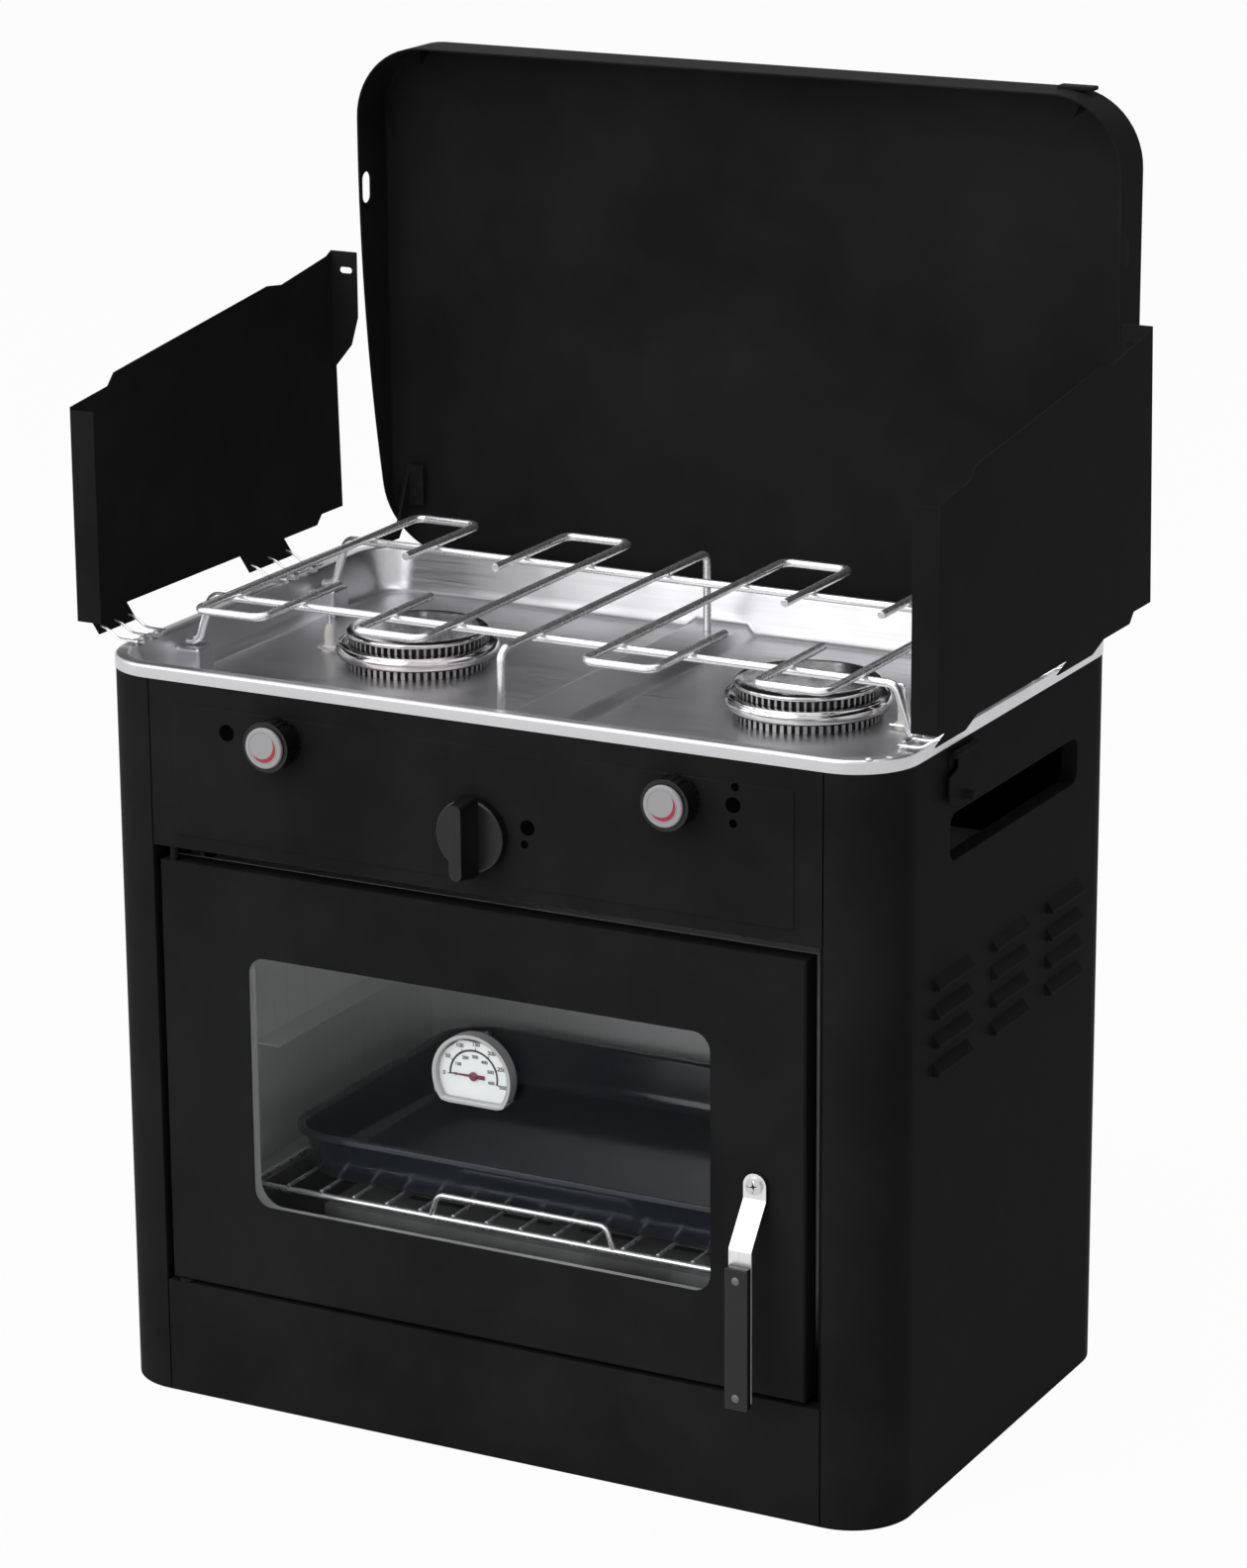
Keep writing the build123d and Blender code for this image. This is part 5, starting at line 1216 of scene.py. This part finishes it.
def latch():
    """The bent strip with its screw and rivets, and the black grip on it."""
    strip = line("latch_bent_strip", [at(LATCH_X - LATCH_HALF, y, z) for y, z in LATCH_ROUTE])
    edit(strip)
    bend_corners(strip, 1.3, 4)
    bpy.ops.mesh.select_all(action="SELECT")
    draw_out(x=2 * LATCH_HALF)
    close_edit()
    turn_sheet(strip, (0, -1, 0))
    finish_with(strip, "SOLIDIFY", thickness=1.5 * MM, offset=1.0, use_even_offset=True)
    edit(strip)
    pick(strip, "edges", lambda e: abs((e.verts[0].co - e.verts[1].co).y) > 1.2 * MM
         and abs((e.verts[0].co - e.verts[1].co).z) < 0.1 * MM and middle(e).z > 210 * MM)
    bpy.ops.mesh.bevel(offset=7.2 * MM, segments=10, affect="EDGES")
    close_edit()
    round_edges(strip, 0.25, 2, 60)
    smooth(strip, 35)
    head = spun("screw_head", ((0, 0), (4.6, 0), (4.6, 0.7), (3.9, 1.4), (2.4, 1.9), (0, 2.0)),
                at(LATCH_X, -3.5, SCREW_Z), "Y", 48)
    recess = []
    for turn in (SLIT_TURN, SLIT_TURN + math.pi / 2):
        for half_length, half_width, front, back in ((3.1, 0.65, -6.2, -4.3), (3.0, 0.6, -4.6, -4.2)):
            slit = block("slit", at(LATCH_X - half_length, front, SCREW_Z - half_width),
                         at(LATCH_X + half_length, back, SCREW_Z + half_width))
            edit(slit)
            bpy.ops.transform.rotate(value=turn, orient_axis="Y", center_override=at(LATCH_X, -5, SCREW_Z))
            close_edit()
            if front < -6:
                combine(head, "DIFFERENCE", slit)
            else:
                recess.append(slit)
    # Thin near-black slabs at the bottom of the screw's cross: painted shade in the recess
    hand_over(join("latch_screw_recess_shade", *recess), "latch", "tray_steel", look=painted_recess_shade)
    strip = join("latch_bent_strip", strip, head)
    hand_over(strip, "latch", "tray_steel", "latch_strip", look=bright_strip)
    grip = block("latch_moulded_grip", at(LATCH_X - LATCH_HALF, GRIP_FRONT, GRIP_LOW),
                 at(LATCH_X + LATCH_HALF, GRIP_REAR, GRIP_HIGH))
    round_edges(grip, 0.9, 3, 60)
    smooth(grip, 35)
    hand_over(grip, "latch", "black_plastic", "latch_grip")
    rivets = [spun("rivet", ((0, 0), (2.5, 0), (2.4, 0.35), (1.6, 0.75), (0, 0.8)),
                   at(LATCH_X, GRIP_FRONT + 0.05, z), "Y", 32)
              for z in (153.75, 82.25)]
    hand_over(join("latch_rivets", *rivets), "latch", "tray_steel", look=dull_rivet)


latch()


# The windshields' wires

PIVOT_X = 250.0
PIVOT_Z = 461.2
PIVOT_RUNS = ((34.0, 66.0), (203.0, 247.0))


def shield_clips(side):
    """The wires that hold a windshield: each a pivot along the rim with arms out to the plate."""
    label = word_for(side)
    parts = []
    for near, far in PIVOT_RUNS:
        pivot = [at(side * PIVOT_X, y, PIVOT_Z) for y in (near, far)]
        parts.append(bent_wire("pivot", pivot, 1.0, around=4))
        for y in (near + 0.9, (near + far) / 2, far - 0.9):
            arm = [at(side * x, y, z) for x, z in (
                (PIVOT_X, PIVOT_Z), (263, PIVOT_Z), (271, 466.8), (275.6, 467.6))]
            parts.append(bent_wire("arm", arm, 0.9, 3.0, around=4))
    hand_over(join(label + "_windshield_wires", *parts), label + "_shield", "plated_wire",
              label + "_windshield_clips")


for shield_side in (-1, 1):
    shield_clips(shield_side)


# The camera, the lamps, the surround and the floor

CAMERA = Vector((1.370401, -2.562335, 1.228369))
YAW = 0.4886062273
PITCH = 0.2867382171
ROLL = -0.0063840452
FOCAL_PIXELS = 5101.75975
IMAGE_HEIGHT = 1584.0
SENSOR = 36.0
FLOOR_WHITENESS = 0.96
FLOOR_RADIUS = 9.0
SURROUND_STRENGTH = 0.2


def make_camera():
    """The camera at the photograph's place, height and turn."""
    forward = Vector((-math.sin(YAW) * math.cos(PITCH), math.cos(YAW) * math.cos(PITCH), -math.sin(PITCH)))
    level_right = Vector((math.cos(YAW), math.sin(YAW), 0.0))
    level_up = level_right.cross(forward)
    right = level_right * math.cos(ROLL) + level_up * math.sin(ROLL)
    up = -level_right * math.sin(ROLL) + level_up * math.cos(ROLL)
    turn = Matrix((right, up, -forward)).transposed()
    alone()
    bpy.ops.object.camera_add(location=CAMERA, rotation=turn.to_euler())
    camera = bpy.context.object
    camera.name = "camera"
    camera.data.sensor_fit = "AUTO"
    camera.data.sensor_width = SENSOR
    camera.data.lens = FOCAL_PIXELS / IMAGE_HEIGHT * SENSOR
    camera.data.clip_end = 50.0
    bpy.context.scene.camera = camera


def soft_lamp(name, place, target, size, power):
    """A large soft lamp looking at a point."""
    alone()
    turn = (Vector(target) - Vector(place)).to_track_quat("-Z", "Y")
    bpy.ops.object.light_add(type="AREA", location=place, rotation=turn.to_euler())
    lamp = bpy.context.object
    lamp.name = name
    lamp.data.shape = "RECTANGLE"
    lamp.data.size = size[0]
    lamp.data.size_y = size[1]
    lamp.data.energy = power


def white_to_the_eye(sheet, kind):
    """A mask of camera, mirror and glass rays, and a plain white shader for them."""
    path = sheet.add("LightPath")
    seen = sheet.sum_up("MAXIMUM", path.outputs["Is Camera Ray"], path.outputs["Is Glossy Ray"])
    seen = sheet.sum_up("MAXIMUM", seen, path.outputs["Is Transmission Ray"])
    white = sheet.add(kind)
    white.inputs[0].default_value = grey(1.0)
    white.inputs[1].default_value = 1.0
    return seen, white


def make_world():
    """A pale even surround that is white where the camera sees it."""
    world = bpy.data.worlds.new("studio")
    bpy.context.scene.world = world
    world.use_nodes = True
    sheet = Sheet(world.node_tree)
    soft = world.node_tree.nodes["Background"]
    soft.inputs[0].default_value = grey(1.0)
    soft.inputs[1].default_value = SURROUND_STRENGTH
    seen, white = white_to_the_eye(sheet, "Background")
    mix_into(sheet, seen, soft, white, world.node_tree.nodes["World Output"].inputs[0])


def make_floor():
    """A pale plain floor, nearly white to the eye, that keeps the object's shadow."""
    alone()
    bpy.ops.mesh.primitive_circle_add(vertices=96, radius=FLOOR_RADIUS, fill_type="NGON",
                                      location=(0, 0, -0.0005))
    floor = settle(bpy.context.object, "floor")
    edit(floor)
    all_faces()
    bpy.ops.mesh.inset(thickness=1.5)
    close_edit()
    material, sheet, shader = new_material("floor_white")
    place = sheet.place()
    tone = sheet.span(sheet.noise(place, 3.0, 2.0), 0.3, 0.7, 0.9, 0.93)
    colour = sheet.add("CombineColor")
    for socket in colour.inputs[:3]:
        sheet.join(tone, socket)
    sheet.join(colour.outputs[0], shader.inputs["Base Color"])
    shader.inputs["Roughness"].default_value = 0.9
    shader.inputs["Specular IOR Level"].default_value = 0.1
    seen, white = white_to_the_eye(sheet, "Emission")
    share = sheet.sum_up("MULTIPLY", seen, FLOOR_WHITENESS)
    mix_into(sheet, share, shader, white, material.node_tree.nodes["Material Output"].inputs[0])
    floor.data.materials.append(material)


make_camera()
make_world()
make_floor()
soft_lamp("key", (-1.4, -3.2, 2.4), (0.0, 0.0, 0.3), (4.4, 4.0), 84.0)
soft_lamp("left_strip", (-2.6, -1.2, 1.3), (0.0, 0.0, 0.4), (1.0, 2.4), 9.0)
soft_lamp("top", (0.0, -0.2, 2.8), (0.0, 0.0, 0.4), (2.4, 1.8), 20.0)

bpy.context.scene.view_settings.view_transform = "Standard"
